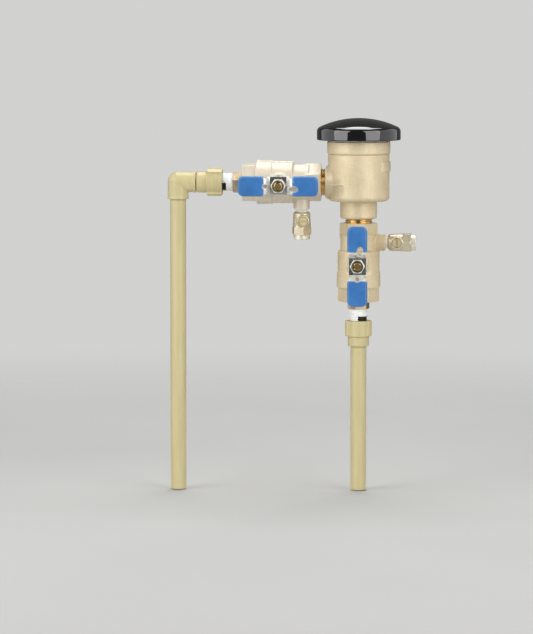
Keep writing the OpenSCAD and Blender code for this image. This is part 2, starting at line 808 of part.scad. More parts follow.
module adapter(u) {
    color(TAN_PLASTIC) difference() {
        union() {
            run(u, u + ring_len, ring_r);
            for (a = [-150, -30, 30, 150]) rotate([0, 0, a])
                translate([ring_r - 1.5, -lug_w / 2, -u - ring_len + 0.5])
                    cube([lug_r - ring_r + 1.5, lug_w, ring_len - 0.5]);
            run(u + ring_len - 1, u + adapter_len - 1.2, adapter_barrel_r);
            translate([0, 0, -u - adapter_len])
                cylinder(h = 1.2, r1 = adapter_barrel_r - 0.8, r2 = adapter_barrel_r);
        }
        run(u - eps, u + small_engage + 0.2, small_nipple_r + fit_gap);
        run(u, u + adapter_len, pipe_bore_r - 0.8);
        run(u + adapter_len - socket_len - 0.2, u + adapter_len + eps, pipe_joint_r + fit_gap);
    }
}

module elbow() {
    color(TAN_PLASTIC) translate([-outlet_pipe_x, 0, outlet_z]) difference() {
        union() {
            sphere(r = elbow_r);
            side(0, elbow_leg_x, elbow_r);
            side(elbow_leg_x - bead_len, elbow_leg_x, elbow_r + 0.35);
            run(0, elbow_leg_z, elbow_r);
            run(elbow_leg_z - bead_len, elbow_leg_z, elbow_r + 0.35);
        }
        sphere(r = pipe_bore_r - 0.3);
        side(0, elbow_leg_x, pipe_bore_r - 0.3);
        run(0, elbow_leg_z, pipe_bore_r - 0.3);
        side(elbow_leg_x - elbow_socket - 0.2, elbow_leg_x + eps, pipe_joint_r + fit_gap);
        run(elbow_leg_z - elbow_socket - 0.2, elbow_leg_z + eps, pipe_joint_r + fit_gap);
    }
}

module outlet_stub_pipe() {
    near = outlet_pipe_x - elbow_leg_x;
    color(TAN_PLASTIC) translate([0, 0, outlet_z]) difference() {
        side(-near - elbow_socket, -near + stub_gap + socket_len, pipe_joint_r);
        side(-near - elbow_socket - 1, -near + stub_gap + socket_len + 1, pipe_bore_r);
    }
}

// Riser from its cut end up to the fitting at show_top, and on into the socket
module riser(show_top, socket) {
    color(TAN_PLASTIC) difference() {
        union() {
            cylinder(h = show_top - 1, r = pipe_r);
            translate([0, 0, show_top - 2]) cylinder(h = socket + 2, r = pipe_joint_r);
        }
        translate([0, 0, -eps]) cylinder(h = show_top + socket + 1, r = pipe_bore_r);
    }
}

pvb_body();
bonnet();
bonnet_o_ring();
canopy();
check_poppet();
check_seal();
check_seal_screw();
check_spring();
air_inlet_poppet();
air_inlet_seal();
air_inlet_retainer();
air_inlet_stem_clip();
air_inlet_spring();
inlet_close_nipple();
outlet_close_nipple();
at_inlet() valve_body();  // inlet_valve_body
at_inlet() valve_tailpiece(0);  // inlet_valve_tailpiece
at_inlet() valve_ball();  // inlet_valve_ball
at_inlet() valve_seats();  // inlet_valve_seats
at_inlet() valve_stem();  // inlet_valve_stem
at_inlet() valve_packing();  // inlet_valve_packing
at_inlet() valve_packing_nut();  // inlet_valve_packing_nut
at_inlet() valve_handle();  // inlet_valve_handle
at_inlet() valve_grips();  // inlet_valve_grips
at_inlet() valve_handle_nut(0);  // inlet_valve_handle_nut
at_outlet() valve_body();  // outlet_valve_body
at_outlet() valve_tailpiece(30);  // outlet_valve_tailpiece
at_outlet() valve_ball();  // outlet_valve_ball
at_outlet() valve_seats();  // outlet_valve_seats
at_outlet() valve_stem();  // outlet_valve_stem
at_outlet() valve_packing();  // outlet_valve_packing
at_outlet() valve_packing_nut();  // outlet_valve_packing_nut
at_outlet() valve_handle();  // outlet_valve_handle
at_outlet() valve_grips();  // outlet_valve_grips
at_outlet() valve_handle_nut(30);  // outlet_valve_handle_nut
at_inlet_cock() cock_body();  // inlet_cock_body
at_inlet_cock() cock_rotor();  // inlet_cock_rotor
at_inlet_cock() cock_rotor_seals();  // inlet_cock_rotor_seals
at_inlet_cock() cock_rotor_clip();  // inlet_cock_rotor_clip
at_inlet_cock() cock_outlet_insert();  // inlet_cock_outlet_insert
at_inlet_cock() cock_thread_tape();  // inlet_cock_thread_tape
at_outlet_cock() cock_body();  // outlet_cock_body
at_outlet_cock() cock_rotor();  // outlet_cock_rotor
at_outlet_cock() cock_rotor_seals();  // outlet_cock_rotor_seals
at_outlet_cock() cock_rotor_clip();  // outlet_cock_rotor_clip
at_outlet_cock() cock_outlet_insert();  // outlet_cock_outlet_insert
at_outlet_cock() cock_thread_tape();  // outlet_cock_thread_tape
at_inlet() reducer(inlet_tape_u);  // inlet_reducer
at_outlet() reducer(outlet_tape_u);  // outlet_reducer
at_inlet() small_nipple(inlet_tape_u, inlet_tape_show);  // inlet_small_nipple
at_outlet() small_nipple(outlet_tape_u, outlet_tape_show);  // outlet_small_nipple
at_inlet() thread_tape(inlet_tape_u, inlet_tape_show);  // inlet_thread_tape
at_outlet() thread_tape(outlet_tape_u, outlet_tape_show);  // outlet_thread_tape
at_inlet() adapter(inlet_adapter_u);  // inlet_adapter
at_outlet() adapter(outlet_adapter_u);  // outlet_adapter
outlet_stub_pipe();
elbow();  // outlet_elbow
translate([-outlet_pipe_x, 0, 0]) riser(outlet_z - elbow_leg_z, elbow_socket);  // outlet_riser
riser(inlet_riser_top, socket_len);  // inlet_riser
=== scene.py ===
import json
import math

import bmesh
import bpy
import numpy as np
from mathutils import Matrix, Vector, noise


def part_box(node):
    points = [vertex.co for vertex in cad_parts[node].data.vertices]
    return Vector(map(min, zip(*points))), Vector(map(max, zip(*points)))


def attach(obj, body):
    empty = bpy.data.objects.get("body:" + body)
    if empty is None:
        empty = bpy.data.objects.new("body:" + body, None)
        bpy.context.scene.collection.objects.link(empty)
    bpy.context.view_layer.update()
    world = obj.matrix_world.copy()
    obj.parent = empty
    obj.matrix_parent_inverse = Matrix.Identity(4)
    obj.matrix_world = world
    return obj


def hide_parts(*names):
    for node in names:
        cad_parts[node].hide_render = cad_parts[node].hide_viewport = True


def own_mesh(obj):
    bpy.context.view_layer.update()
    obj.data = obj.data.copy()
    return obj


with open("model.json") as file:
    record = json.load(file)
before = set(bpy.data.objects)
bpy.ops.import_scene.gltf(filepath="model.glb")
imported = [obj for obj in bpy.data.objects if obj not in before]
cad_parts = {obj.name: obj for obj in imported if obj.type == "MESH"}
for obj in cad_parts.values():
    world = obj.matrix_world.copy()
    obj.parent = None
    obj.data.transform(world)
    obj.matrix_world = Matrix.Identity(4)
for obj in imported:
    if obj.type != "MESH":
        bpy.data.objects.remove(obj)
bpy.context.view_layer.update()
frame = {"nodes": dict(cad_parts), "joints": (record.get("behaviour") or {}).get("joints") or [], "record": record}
RECORD = frame["record"]
JOINTS = {j["name"]: j for j in frame["joints"]}
BODY_OF = {n: b for b, nodes in RECORD["behaviour"]["bodies"].items() for n in nodes}
SLOT_OF = {p["node"]: p["material_slot"] for p in RECORD["subparts"]}

# ---- sizes
# Millimetres. Each piece is built in millimetres and scaled when it is done.

MM = 0.001
OUTLET_Z = JOINTS["outlet_valve_turn"]["pos_m"][2] / MM
FRONT = Matrix.Rotation(math.radians(90), 4, "X")   # +Z of a piece turns to face the front
SIDE = Matrix.Rotation(math.radians(90), 4, "Y")    # +Z of a piece turns to +X
GAP = 0.05                # room round a piece that sits inside another

# Casting, with heights from the outlet's centreline
BODY_R = 30.6
BAND_R = 31.5
NECK_R = 18.4
NECK_END = -36.2
FLOOR = -18.6
GROOVE_Z = 28.2
MOUTH_Z = 41
CHAMBER_R = 25
CHAMBER_FLOOR = -13.5
SEAT_R = (11.2, 13.8)
SEAT_Z = -10.5
LEDGE_R = 27.05           # where the bonnet sits
LEDGE_Z = 28.2
NECK_STOP = -25.2         # where the inlet's nipple ends
SOCKET_MOUTH_R = 14.6
BOSS_FACE = 32.9
BOSS_R = 16.4
NIPPLE_R = 13.35
NIPPLE_BORE = 10.4
NIPPLE_PITCH = 1.81
PIPE_SOCKET = 14

# Valve, with distances from its near end and from its axis
VALVE_LEN = 78.5
NEAR_HEX = 33
TAIL_HEX = 36
VALVE_NECK_R = 18.2
BARREL_R = 20.5
COLLAR_R = 21.4
COLLAR_START = 49.1
COLLAR_END = 64.3
STEM_U = 41.2
COCK_U = 19.4
CAVITY = (28, 54.4)
CAVITY_R = 15.2
SPIGOT_R = 17.5
WAY_R = 9.5
GLAND_R = 11
GLAND_D = 25
PLATE_D = 29
PLATE_T = 2.5
ARM_D = 36.5
STEM_END = 39.5
STEM_R = 4.5
STEM_TIP_R = 4.0
NUT_D = 38
PACKING_R = 7.4
LOCK_X = 2.8              # padlock slot in the handle, from the stem
LOCK_R = 2.0
LOCK_LOW = 12.6
LOCK_HIGH = 17.0
DRAIN_Z = 12.6            # round hole in the handle's other arm

# Fittings
SMALL_R = 8.55
SMALL_PITCH = 1.41
PIPE_R = 7.95
PIPE_BORE = 6.2
PIPE_JOINT_R = 7.78

# Test cock, with distances from the valve's axis along the cock
COCK_FACE = 27.2
COCK_NECK = 29.3
COCK_HEX_X = 44.8
COCK_HEX_END = 52.4
COCK_END = 57.2
COCK_PORT_R = 2.2
COCK_THREAD_R = 5.1
ROTOR_X = 38.3
ROTOR_R = 4.45
INSERT_R = 6.0


# ---- meshes

def make(name, verts, faces, place=Matrix()):
    """A mesh object from plain lists, with its faces turned outwards."""
    mesh = bpy.data.meshes.new(name)
    mesh.from_pydata(verts, [], faces)
    mesh.transform(place)
    bm = bmesh.new()
    bm.from_mesh(mesh)
    bmesh.ops.recalc_face_normals(bm, faces=bm.faces)
    bm.to_mesh(mesh)
    bm.free()
    obj = bpy.data.objects.new(name, mesh)
    bpy.context.scene.collection.objects.link(obj)
    return obj


def turned(outline, place=Matrix(), steps=160):
    """A closed outline of (radius, height) points, turned about +Z."""
    verts, rings, faces = [], [], []
    for r, z in outline:
        count = 1 if r < 1e-6 else steps
        rings.append(range(len(verts), len(verts) + count))
        for i in range(count):
            a = 2 * math.pi * i / steps
            verts.append((r * math.cos(a), r * math.sin(a), z))
    for a, b in zip(rings, rings[1:] + rings[:1]):
        for i in range(steps):
            j = (i + 1) % steps
            loop = [a[i % len(a)], a[j % len(a)], b[j % len(b)], b[i % len(b)]]
            loop = list(dict.fromkeys(loop))
            if len(loop) > 2:
                faces.append(loop)
    return make("turned", verts, faces, place)


def lathe(outline, place=Matrix(), steps=160):
    """A solid of revolution: both ends of the outline are closed to the axis."""
    return turned([(0, outline[0][1])] + outline + [(0, outline[-1][1])], place, steps)


def rod(r, low, high, place=Matrix(), steps=160):
    return lathe([(r, low), (r, high)], place, steps)


def skin(rings, count):
    """Faces of a closed tube over a stack of rings that have count points each."""
    faces = []
    for base in range(0, (rings - 1) * count, count):
        for i in range(count):
            j = (i + 1) % count
            faces.append([base + i, base + j, base + count + j, base + count + i])
    last = (rings - 1) * count
    return faces + [list(range(count))[::-1], list(range(last, last + count))]


def prism(points, low, high, place=Matrix()):
    """A flat outline of (x, y) points, raised from low to high along Z."""
    n = len(points)
    verts = [(x, y, low) for x, y in points] + [(x, y, high) for x, y in points]
    faces = [list(range(n))[::-1], list(range(n, 2 * n))]
    faces += [[i, (i + 1) % n, n + (i + 1) % n, n + i] for i in range(n)]
    return make("prism", verts, faces, place)


def box(low, high, place=Matrix()):
    corners = [(low[0], low[1]), (high[0], low[1]), (high[0], high[1]), (low[0], high[1])]
    return prism(corners, low[2], high[2], place)


def corner_r(across):
    """Radius to the corners of a hexagon, from its size across flats."""
    return across / 2 / math.cos(math.radians(30))


def hexagon(across, low, high, turn=0.0, place=Matrix()):
    """A hexagonal prism, flats facing +Y and -Y before it is turned."""
    corner = corner_r(across)
    points = [(corner * math.cos(a), corner * math.sin(a))
              for a in (math.radians(turn + 60 * i) for i in range(6))]
    return prism(points, low, high, place)


def arc(x, y, r, start, end, steps):
    """Points along an arc about (x, y), angles in degrees."""
    angles = [math.radians(start + (end - start) * i / steps) for i in range(steps + 1)]
    return [(x + r * math.cos(a), y + r * math.sin(a)) for a in angles]


def shift(x=0.0, y=0.0, z=0.0):
    return Matrix.Translation((x, y, z))


def bake(obj):
    """Applies every modifier."""
    graph = bpy.context.evaluated_depsgraph_get()
    mesh = bpy.data.meshes.new_from_object(obj.evaluated_get(graph))
    old = obj.data
    obj.modifiers.clear()
    obj.data = mesh
    bpy.data.meshes.remove(old)
    return obj


def remove(obj):
    mesh = obj.data
    bpy.data.objects.remove(obj)
    bpy.data.meshes.remove(mesh)


def join(parts):
    """One object that holds every part's faces, merged or not."""
    bm = bmesh.new()
    for part in parts:
        bm.from_mesh(part.data)
    bm.to_mesh(parts[0].data)
    bm.free()
    for part in parts[1:]:
        remove(part)
    return parts[0]


def combine(obj, others, operation):
    """Boolean with each of the others in turn."""
    for other in others:
        step = obj.modifiers.new("step", "BOOLEAN")
        step.operation = operation
        step.solver = "MANIFOLD"
        step.object = other
        bake(obj)
        remove(other)
    return obj


def cut(obj, *others):
    return combine(obj, others, "DIFFERENCE")


def add(obj, *others):
    return combine(obj, others, "UNION")


def bevel(obj, width, segments=2, angle=30):
    step = obj.modifiers.new("bevel", "BEVEL")
    step.width = width
    step.segments = segments
    step.limit_method = "ANGLE"
    step.angle_limit = math.radians(angle)
    step.use_clamp_overlap = True
    step.miter_outer = "MITER_ARC"
    return bake(obj)


def soft_solid(parts, voxel=0.5, soften=6, grain=0.0):
    """Fuses overlapping closed parts into one skin with rounded edges and filleted corners.
    Grain is the depth of a sand-cast surface's roughness."""
    obj = join(parts)
    fuse = obj.modifiers.new("fuse", "REMESH")
    fuse.mode = "VOXEL"
    fuse.voxel_size = voxel
    bake(obj)
    relax = obj.modifiers.new("relax", "SMOOTH")
    relax.factor = 0.5
    relax.iterations = soften
    if grain:
        sand = bpy.data.textures.new("sand", "CLOUDS")
        sand.noise_scale = 1.5
        sand.noise_depth = 2
        rough = obj.modifiers.new("rough", "DISPLACE")
        rough.texture = sand
        rough.texture_coords = "LOCAL"
        rough.strength = grain
    return bake(obj)


def push(obj, move):
    """Moves each vertex by what move(coordinates, normals) returns."""
    mesh = obj.data
    count = len(mesh.vertices)
    places, normals = np.zeros(count * 3), np.zeros(count * 3)
    mesh.vertices.foreach_get("co", places)
    mesh.vertices.foreach_get("normal", normals)
    places, normals = places.reshape(-1, 3), normals.reshape(-1, 3)
    mesh.vertices.foreach_set("co", (places + move(places, normals)).ravel())
    mesh.update()
    return obj


def ramp(value, low, high):
    """0 below low, 1 above high and smooth between them."""
    t = np.clip((value - low) / (high - low), 0, 1)
    return t * t * (3 - 2 * t)


def wobble(values, scale, seed=0.0):
    """Smooth noise from -1 to 1 along a line of values."""
    return np.array([noise.noise((v * scale, seed, 0.3)) for v in values])


# ---- materials

def linear(r, g, b):
    """Linear colour from 8-bit display values."""
    def one(c):
        c /= 255
        return c / 12.92 if c <= 0.04045 else ((c + 0.055) / 1.055) ** 2.4
    return (one(r), one(g), one(b), 1)


class Surface:
    """A node material that is built up from a few kinds of layer."""

    def __init__(self, name, metallic=0.0, coat=0.0):
        self.material = bpy.data.materials.new(name)
        self.material.use_nodes = True
        self.tree = self.material.node_tree
        self.shader = self.tree.nodes["Principled BSDF"]
        self.shader.inputs["Metallic"].default_value = metallic
        self.shader.inputs["Coat Weight"].default_value = coat
        self.shader.inputs["Coat Roughness"].default_value = 0.08
        self.where = self.tree.nodes.new("ShaderNodeTexCoord").outputs["Object"]
        self.normal = None

    def link(self, a, b):
        self.tree.links.new(a, b)

    def spots(self, per_mm, detail=2.0, roughness=0.55, stretch=None):
        """Noise with about per_mm features to the millimetre, stretched along an axis if asked."""
        node = self.tree.nodes.new("ShaderNodeTexNoise")
        node.inputs["Scale"].default_value = per_mm / MM
        node.inputs["Detail"].default_value = detail
        node.inputs["Roughness"].default_value = roughness
        where = self.where
        if stretch:
            mapping = self.tree.nodes.new("ShaderNodeMapping")
            mapping.inputs["Scale"].default_value = stretch
            self.link(where, mapping.inputs["Vector"])
            where = mapping.outputs["Vector"]
        self.link(where, node.inputs["Vector"])
        return node.outputs["Fac"]

    def stretch_range(self, value, low, high, to_low=0.0, to_high=1.0, smooth=False):
        node = self.tree.nodes.new("ShaderNodeMapRange")
        node.interpolation_type = "SMOOTHSTEP" if smooth else "LINEAR"
        node.inputs["From Min"].default_value = low
        node.inputs["From Max"].default_value = high
        node.inputs["To Min"].default_value = to_low
        node.inputs["To Max"].default_value = to_high
        self.link(value, node.inputs["Value"])
        return node.outputs["Result"]

    def blend(self, factor, a, b):
        node = self.tree.nodes.new("ShaderNodeMix")
        node.data_type = "RGBA"
        self.link(factor, node.inputs["Factor"])
        for socket, value in ((node.inputs["A"], a), (node.inputs["B"], b)):
            if isinstance(value, tuple):
                socket.default_value = value
            else:
                self.link(value, socket)
        return node.outputs["Result"]

    def colour(self, value):
        self.link(value, self.shader.inputs["Base Color"])

    def roughness(self, value):
        self.link(value, self.shader.inputs["Roughness"])

    def bump(self, height, depth_mm):
        node = self.tree.nodes.new("ShaderNodeBump")
        node.inputs["Distance"].default_value = depth_mm * MM
        self.link(height, node.inputs["Height"])
        if self.normal:
            self.link(self.normal, node.inputs["Normal"])
        self.normal = node.outputs["Normal"]
        self.link(self.normal, self.shader.inputs["Normal"])

    def edges(self, low=0.515, high=0.56):
        """1 along outer edges, from the mesh's own pointiness."""
        node = self.tree.nodes.new("ShaderNodeNewGeometry")
        return self.stretch_range(node.outputs["Pointiness"], low, high)


def cast_metal(name, main, dark, light, metallic=0.35, grain=0.07, rough=(0.42, 0.62)):
    """Sand-cast bronze: speckled, cloudy, rough, and polished along its edges."""
    s = Surface(name, metallic=metallic)
    fine = s.spots(1.5, detail=3, roughness=0.65)
    cloudy = s.spots(0.05, detail=3)
    base = s.blend(s.stretch_range(cloudy, 0.38, 0.66), main, dark)
    base = s.blend(s.stretch_range(fine, 0.4, 0.75, 0, 0.7), base, light)
    base = s.blend(s.stretch_range(s.spots(0.7, detail=4), 0.5, 0.75, 0, 0.6), base, dark)
    s.colour(s.blend(s.edges(), base, light))
    s.roughness(s.stretch_range(fine, 0.3, 0.7, rough[1], rough[0]))
    s.bump(s.spots(0.35, detail=2), grain * 1.2)
    s.bump(fine, grain)
    return s.material


def machined_metal(name, main, dark, rough=(0.16, 0.3), lines=0.012, metallic=1.0, stretch=(1, 1, 14)):
    """Turned or milled metal with fine tool lines and faint tarnish."""
    s = Surface(name, metallic=metallic)
    tarnish = s.spots(0.12, detail=4)
    scratch = s.spots(1.6, detail=2, stretch=stretch)
    s.colour(s.blend(s.stretch_range(tarnish, 0.4, 0.7), main, dark))
    s.roughness(s.stretch_range(scratch, 0.3, 0.7, rough[0], rough[1]))
    s.bump(scratch, lines)
    return s.material


def moulded_plastic(name, main, dark):
    """Injection-moulded plastic: faint flow streaks and a slightly uneven skin."""
    s = Surface(name)
    streaks = s.spots(0.22, detail=3, stretch=(1, 1, 0.08))
    fine = s.spots(0.9, detail=2)
    s.colour(s.blend(s.stretch_range(streaks, 0.35, 0.7), main, dark))
    s.roughness(s.stretch_range(fine, 0.3, 0.7, 0.28, 0.4))
    s.bump(s.spots(0.16, detail=1), 0.02)
    s.bump(fine, 0.01)
    return s.material


def gloss_black(name):
    s = Surface(name, coat=1.0)
    s.shader.inputs["Coat Roughness"].default_value = 0.03
    fine = s.spots(0.7, detail=3)
    s.colour(s.blend(fine, linear(9, 9, 9), linear(15, 15, 15)))
    s.roughness(s.stretch_range(fine, 0.3, 0.7, 0.05, 0.1))
    s.bump(s.spots(0.04, detail=1), 0.012)
    return s.material


def dipped_vinyl(name):
    s = Surface(name, coat=0.25)
    fine = s.spots(0.55, detail=2)
    patches = s.spots(0.07, detail=2)
    base = s.blend(s.stretch_range(patches, 0.35, 0.7), linear(55, 118, 184), linear(46, 104, 170))
    # Painted highlight: light cyan is blended into the blue along the grips' rounded rims, found from the mesh's
    # pointiness.
    s.colour(s.blend(s.edges(0.508, 0.545), base, linear(118, 178, 222)))
    s.roughness(s.stretch_range(fine, 0.3, 0.7, 0.36, 0.5))
    s.bump(s.spots(0.2, detail=1), 0.05)
    s.bump(fine, 0.02)
    return s.material


def sealing_tape(name):
    """Soft white tape, with creases along its windings."""
    s = Surface(name)
    crease = s.spots(0.5, detail=4, roughness=0.65)
    s.colour(s.blend(s.stretch_range(crease, 0.35, 0.7), linear(252, 252, 251), linear(226, 226, 224)))
    s.roughness(s.stretch_range(crease, 0.3, 0.7, 0.5, 0.7))
    s.shader.inputs["Subsurface Weight"].default_value = 0.15
    s.shader.inputs["Subsurface Radius"].default_value = (0.001, 0.001, 0.001)
    s.bump(crease, 0.06)
    return s.material


def rubber(name):
    s = Surface(name)
    fine = s.spots(0.8, detail=3)
    s.colour(s.blend(fine, linear(26, 26, 27), linear(40, 40, 41)))
    s.roughness(s.stretch_range(fine, 0.3, 0.7, 0.6, 0.8))
    s.bump(fine, 0.02)
    return s.material


def pale_floor(name):
    """Matt and pale, and thinning out into the studio's air far from the object."""
    near, far = 0.3, 1.7      # metres
    s = Surface(name)
    cloudy = s.spots(0.004, detail=3)
    s.colour(s.blend(cloudy, linear(188, 188, 186), linear(194, 194, 192)))
    s.roughness(s.stretch_range(cloudy, 0.3, 0.7, 0.75, 0.85))
    reach = s.tree.nodes.new("ShaderNodeVectorMath")
    reach.operation = "LENGTH"
    s.link(s.where, reach.inputs[0])
    fade = s.stretch_range(reach.outputs["Value"], near, far, 1, 0, smooth=True)
    s.link(fade, s.shader.inputs["Alpha"])
    return s.material


MATERIALS = {
    "cast_bronze": cast_metal(
        "cast_bronze", linear(222, 205, 168), linear(208, 187, 148), linear(236, 224, 196)),
    "cock_bronze": cast_metal(
        "cock_bronze", linear(216, 204, 174), linear(186, 168, 134), linear(240, 234, 214),
        metallic=0.65, grain=0.09, rough=(0.26, 0.44)),
    "yellow_brass": machined_metal("yellow_brass", linear(232, 204, 142), linear(212, 178, 112)),
    "hex_brass": machined_metal(
        "hex_brass", linear(190, 174, 146), linear(168, 150, 122), rough=(0.28, 0.42)),
    "tan_cpvc": moulded_plastic("tan_cpvc", linear(208, 196, 148), linear(200, 187, 139)),
    "white_tape": sealing_tape("white_tape"),
    "white_ptfe": moulded_plastic("white_ptfe", linear(240, 240, 236), linear(228, 228, 224)),
    "blue_vinyl": dipped_vinyl("blue_vinyl"),
    "plated_steel": machined_metal(
        "plated_steel", linear(204, 202, 196), linear(184, 182, 175),
        rough=(0.14, 0.26), lines=0.005, stretch=(1, 1, 1)),
    "black_steel": machined_metal(
        "black_steel", linear(92, 87, 72), linear(60, 56, 46), rough=(0.35, 0.5)),
    "ball_chrome": machined_metal(
        "ball_chrome", linear(236, 237, 240), linear(220, 221, 226), rough=(0.05, 0.1)),
    "white_plastic": moulded_plastic("white_plastic", linear(226, 226, 218), linear(216, 215, 206)),
    "black_gloss_plastic": gloss_black("black_gloss_plastic"),
    "black_rubber": rubber("black_rubber"),
    "stainless": machined_metal(
        "stainless", linear(206, 206, 202), linear(186, 186, 182), rough=(0.18, 0.3)),
}
PALE_BRONZE = cast_metal(
    "pale_bronze", linear(224, 213, 192), linear(211, 198, 176), linear(238, 231, 217))
# Painted highlight: a brighter, whiter copy of the steel finish, put on the faces of the handle and its nut that
# catch the light.
ZINC_PAINTED_HIGHLIGHT = machined_metal(
    "zinc_painted_highlight", linear(240, 239, 235), linear(226, 224, 218),
    rough=(0.3, 0.42), lines=0.004, metallic=0.5, stretch=(1, 1, 1))
ROTOR_BRASS = machined_metal(
    "rotor_brass", linear(224, 212, 170), linear(204, 190, 146), rough=(0.36, 0.5), metallic=0.6)


def settle(obj, node, material=None, sharp=32):
    """Scales a finished piece to metres and lets it stand for its CAD node."""
    obj.data.transform(Matrix.Scale(MM, 4))
    obj.name = node + "_piece"
    obj.data.name = obj.name
    obj.data.materials.clear()
    obj.data.materials.append(material or MATERIALS[SLOT_OF[node]])
    obj.data.polygons.foreach_set("use_smooth", [True] * len(obj.data.polygons))
    obj.data.set_sharp_from_angle(angle=math.radians(sharp))
    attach(obj, BODY_OF[node])
    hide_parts(node)
    return obj


# ---- casting and canopy

AT_BODY = shift(z=OUTLET_Z)


def casting_marks(places, normals):
    """Cast pad on the +X side, and the mould's parting step beside the outlet boss."""
    x, y, z = places[:, 0], places[:, 1], places[:, 2] - OUTLET_Z
    r = np.hypot(x, y)
    outward = np.stack([x / np.maximum(r, 1), y / np.maximum(r, 1), 0 * x], 1)
    wall = (r > BODY_R - 1) & (np.abs(normals[:, 2]) < 0.5)
    turn = np.degrees(np.arctan2(np.abs(y), x))
    pad_out, pad_low, pad_high, pad_turn, edge = 1.1, 10.8, 20.9, 34, 0.5
    pad = pad_out * ramp(z, pad_low, pad_low + edge) * (1 - ramp(z, pad_high, pad_high + edge))
    pad *= 1 - ramp(turn, pad_turn, pad_turn + 9)
    step_out, ridge_out = 0.7, 0.45
    line = -2.2 + 1.1 * wobble(x, 0.22) + 0.5 * wobble(x, 0.6, 5)
    near_boss = ramp(-x, 13, 17) * (1 - ramp(np.abs(z + 2), 5, 12))
    step = step_out * near_boss * (ramp(z - line, -0.4, 0.4) - 0.5)
    ridge = ridge_out * near_boss * np.exp(-((z - line - 0.4) / 0.55) ** 2)
    return outward * ((pad + step + ridge) * wall)[:, None]


def pvb_body():
    shell = lathe(
        [(NECK_R - 1.4, NECK_END), (NECK_R, NECK_END + 1.4), (NECK_R, FLOOR - 0.8), (NECK_R + 1, FLOOR)]
        + arc(BODY_R - 4.5, FLOOR + 4.5, 4.5, -90, 0, 12)
        + [(BODY_R, GROOVE_Z), (BAND_R - 0.1, GROOVE_Z + 1), (BAND_R, GROOVE_Z + 2), (BAND_R, MOUTH_Z + 1)],
        AT_BODY, 256)
    boss = lathe([(BOSS_R, -BOSS_FACE - 1.5), (BOSS_R, -BOSS_FACE + 1.5), (19, -BOSS_FACE + 11), (19, -14)],
                 AT_BODY @ SIDE)
    obj = push(soft_solid([shell, boss], voxel=0.52, soften=5, grain=0.09), casting_marks)
    groove = turned([(BODY_R - 0.9, GROOVE_Z + 0.15), (BODY_R + 4, GROOVE_Z - 0.75),
                     (BODY_R + 4, GROOVE_Z + 1.15), (BODY_R - 0.9, GROOVE_Z + 0.5)], AT_BODY, 256)
    mouth = turned([(BAND_R - 0.5, MOUTH_Z), (BAND_R + 3, MOUTH_Z - 3.5), (BAND_R + 3, MOUTH_Z + 4),
                    (0, MOUTH_Z + 4), (0, MOUTH_Z)], AT_BODY, 256)
    face = lathe([(BOSS_R + 4, -40), (BOSS_R + 4, -BOSS_FACE + 5.2), (BOSS_R - 1.2, -BOSS_FACE)],
                 AT_BODY @ SIDE)
    seat_in, seat_out = SEAT_R
    bore = lathe([(SOCKET_MOUTH_R, -45), (SOCKET_MOUTH_R, NECK_END), (NIPPLE_R + GAP, NECK_END + 1.2),
                  (NIPPLE_R + GAP, NECK_STOP), (seat_in, NECK_STOP), (seat_in, SEAT_Z), (seat_out, SEAT_Z),
                  (seat_out, CHAMBER_FLOOR), (CHAMBER_R, CHAMBER_FLOOR), (CHAMBER_R, LEDGE_Z),
                  (LEDGE_R, LEDGE_Z), (LEDGE_R, 50)], AT_BODY)
    side_bore = lathe([(SOCKET_MOUTH_R, -40), (SOCKET_MOUTH_R, -BOSS_FACE),
                       (NIPPLE_R + GAP, -BOSS_FACE + 1.2), (NIPPLE_R + GAP, -17)], AT_BODY @ SIDE)
    cut(obj, groove, mouth, face, bore, side_bore)
    settle(obj, "pvb_body")


def canopy():
    low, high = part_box("canopy")
    rim, crown, outer = low.z / MM, high.z / MM, 41.7
    wall, shoulder, crown_r = 2.2, 5.0, 91.0
    edge = outer - shoulder + 1.2
    fall = math.degrees(math.asin(edge / crown_r))
    drop = crown_r * (1 - math.cos(math.radians(fall)))
    turn_z = crown - drop - shoulder

    def half(inset):
        top = arc(0, crown - crown_r, crown_r - inset, 90 - fall + 1, 90, 40)
        side = arc(outer - shoulder, turn_z, shoulder - inset, 0, 90 - fall, 16)
        return side + [(max(r, 0), z) for r, z in top[:-1]] + [(0, crown - inset)]

    lip = arc(outer - wall / 2, rim + wall / 2, wall / 2, -180, 0, 12)
    dome = turned(lip + half(0) + half(wall)[::-1], steps=288)
    posts = []
    post_r, post_low, post_high = 27.5, OUTLET_Z + 45.05, OUTLET_Z + 58.3
    for angle in (45, 135, 225, 315):
        at = Matrix.Rotation(math.radians(angle), 4, "Z") @ shift(post_r)
        posts.append(bevel(box((-1.5, -3, post_low), (1.5, 3, post_high), at), 0.4))
    add(dome, *posts)
    settle(dome, "canopy", sharp=40)


# ---- threads

def threaded(root, crest, pitch, low, high, bore, place, chamfer=1.0, steps=120):
    """A tube with a helical thread on its outside, from low to high along Z."""
    rows_per_turn = 12
    rows = int((high - low) / pitch * rows_per_turn)
    verts, faces = [], []
    for k in range(rows + 1):
        z = low + (high - low) * k / rows
        end = min(z - low, high - z)
        for i in range(steps):
            a = 2 * math.pi * i / steps
            phase = (z / pitch - i / steps) % 1
            flank = min(max(1.25 - abs(phase - 0.5) * 2.5, 0), 1)
            height = root + (crest - root) * flank * flank * (3 - 2 * flank)
            r = min(height, root - 0.2 + end * (crest - root) / chamfer)
            verts.append((r * math.cos(a), r * math.sin(a), z))
    for k in (rows, 0):
        z = high if k else low
        verts += [(bore * math.cos(a), bore * math.sin(a), z)
                  for a in (2 * math.pi * i / steps for i in range(steps))]
    inner_top, inner_low = (rows + 1) * steps, (rows + 2) * steps
    rings = [k * steps for k in range(rows + 1)] + [inner_top, inner_low]
    for a, b in zip(rings, rings[1:] + rings[:1]):
        for i in range(steps):
            j = (i + 1) % steps
            faces.append([a + i, a + j, b + j, b + i])
    return make("threaded", verts, faces, place)


# ---- valves

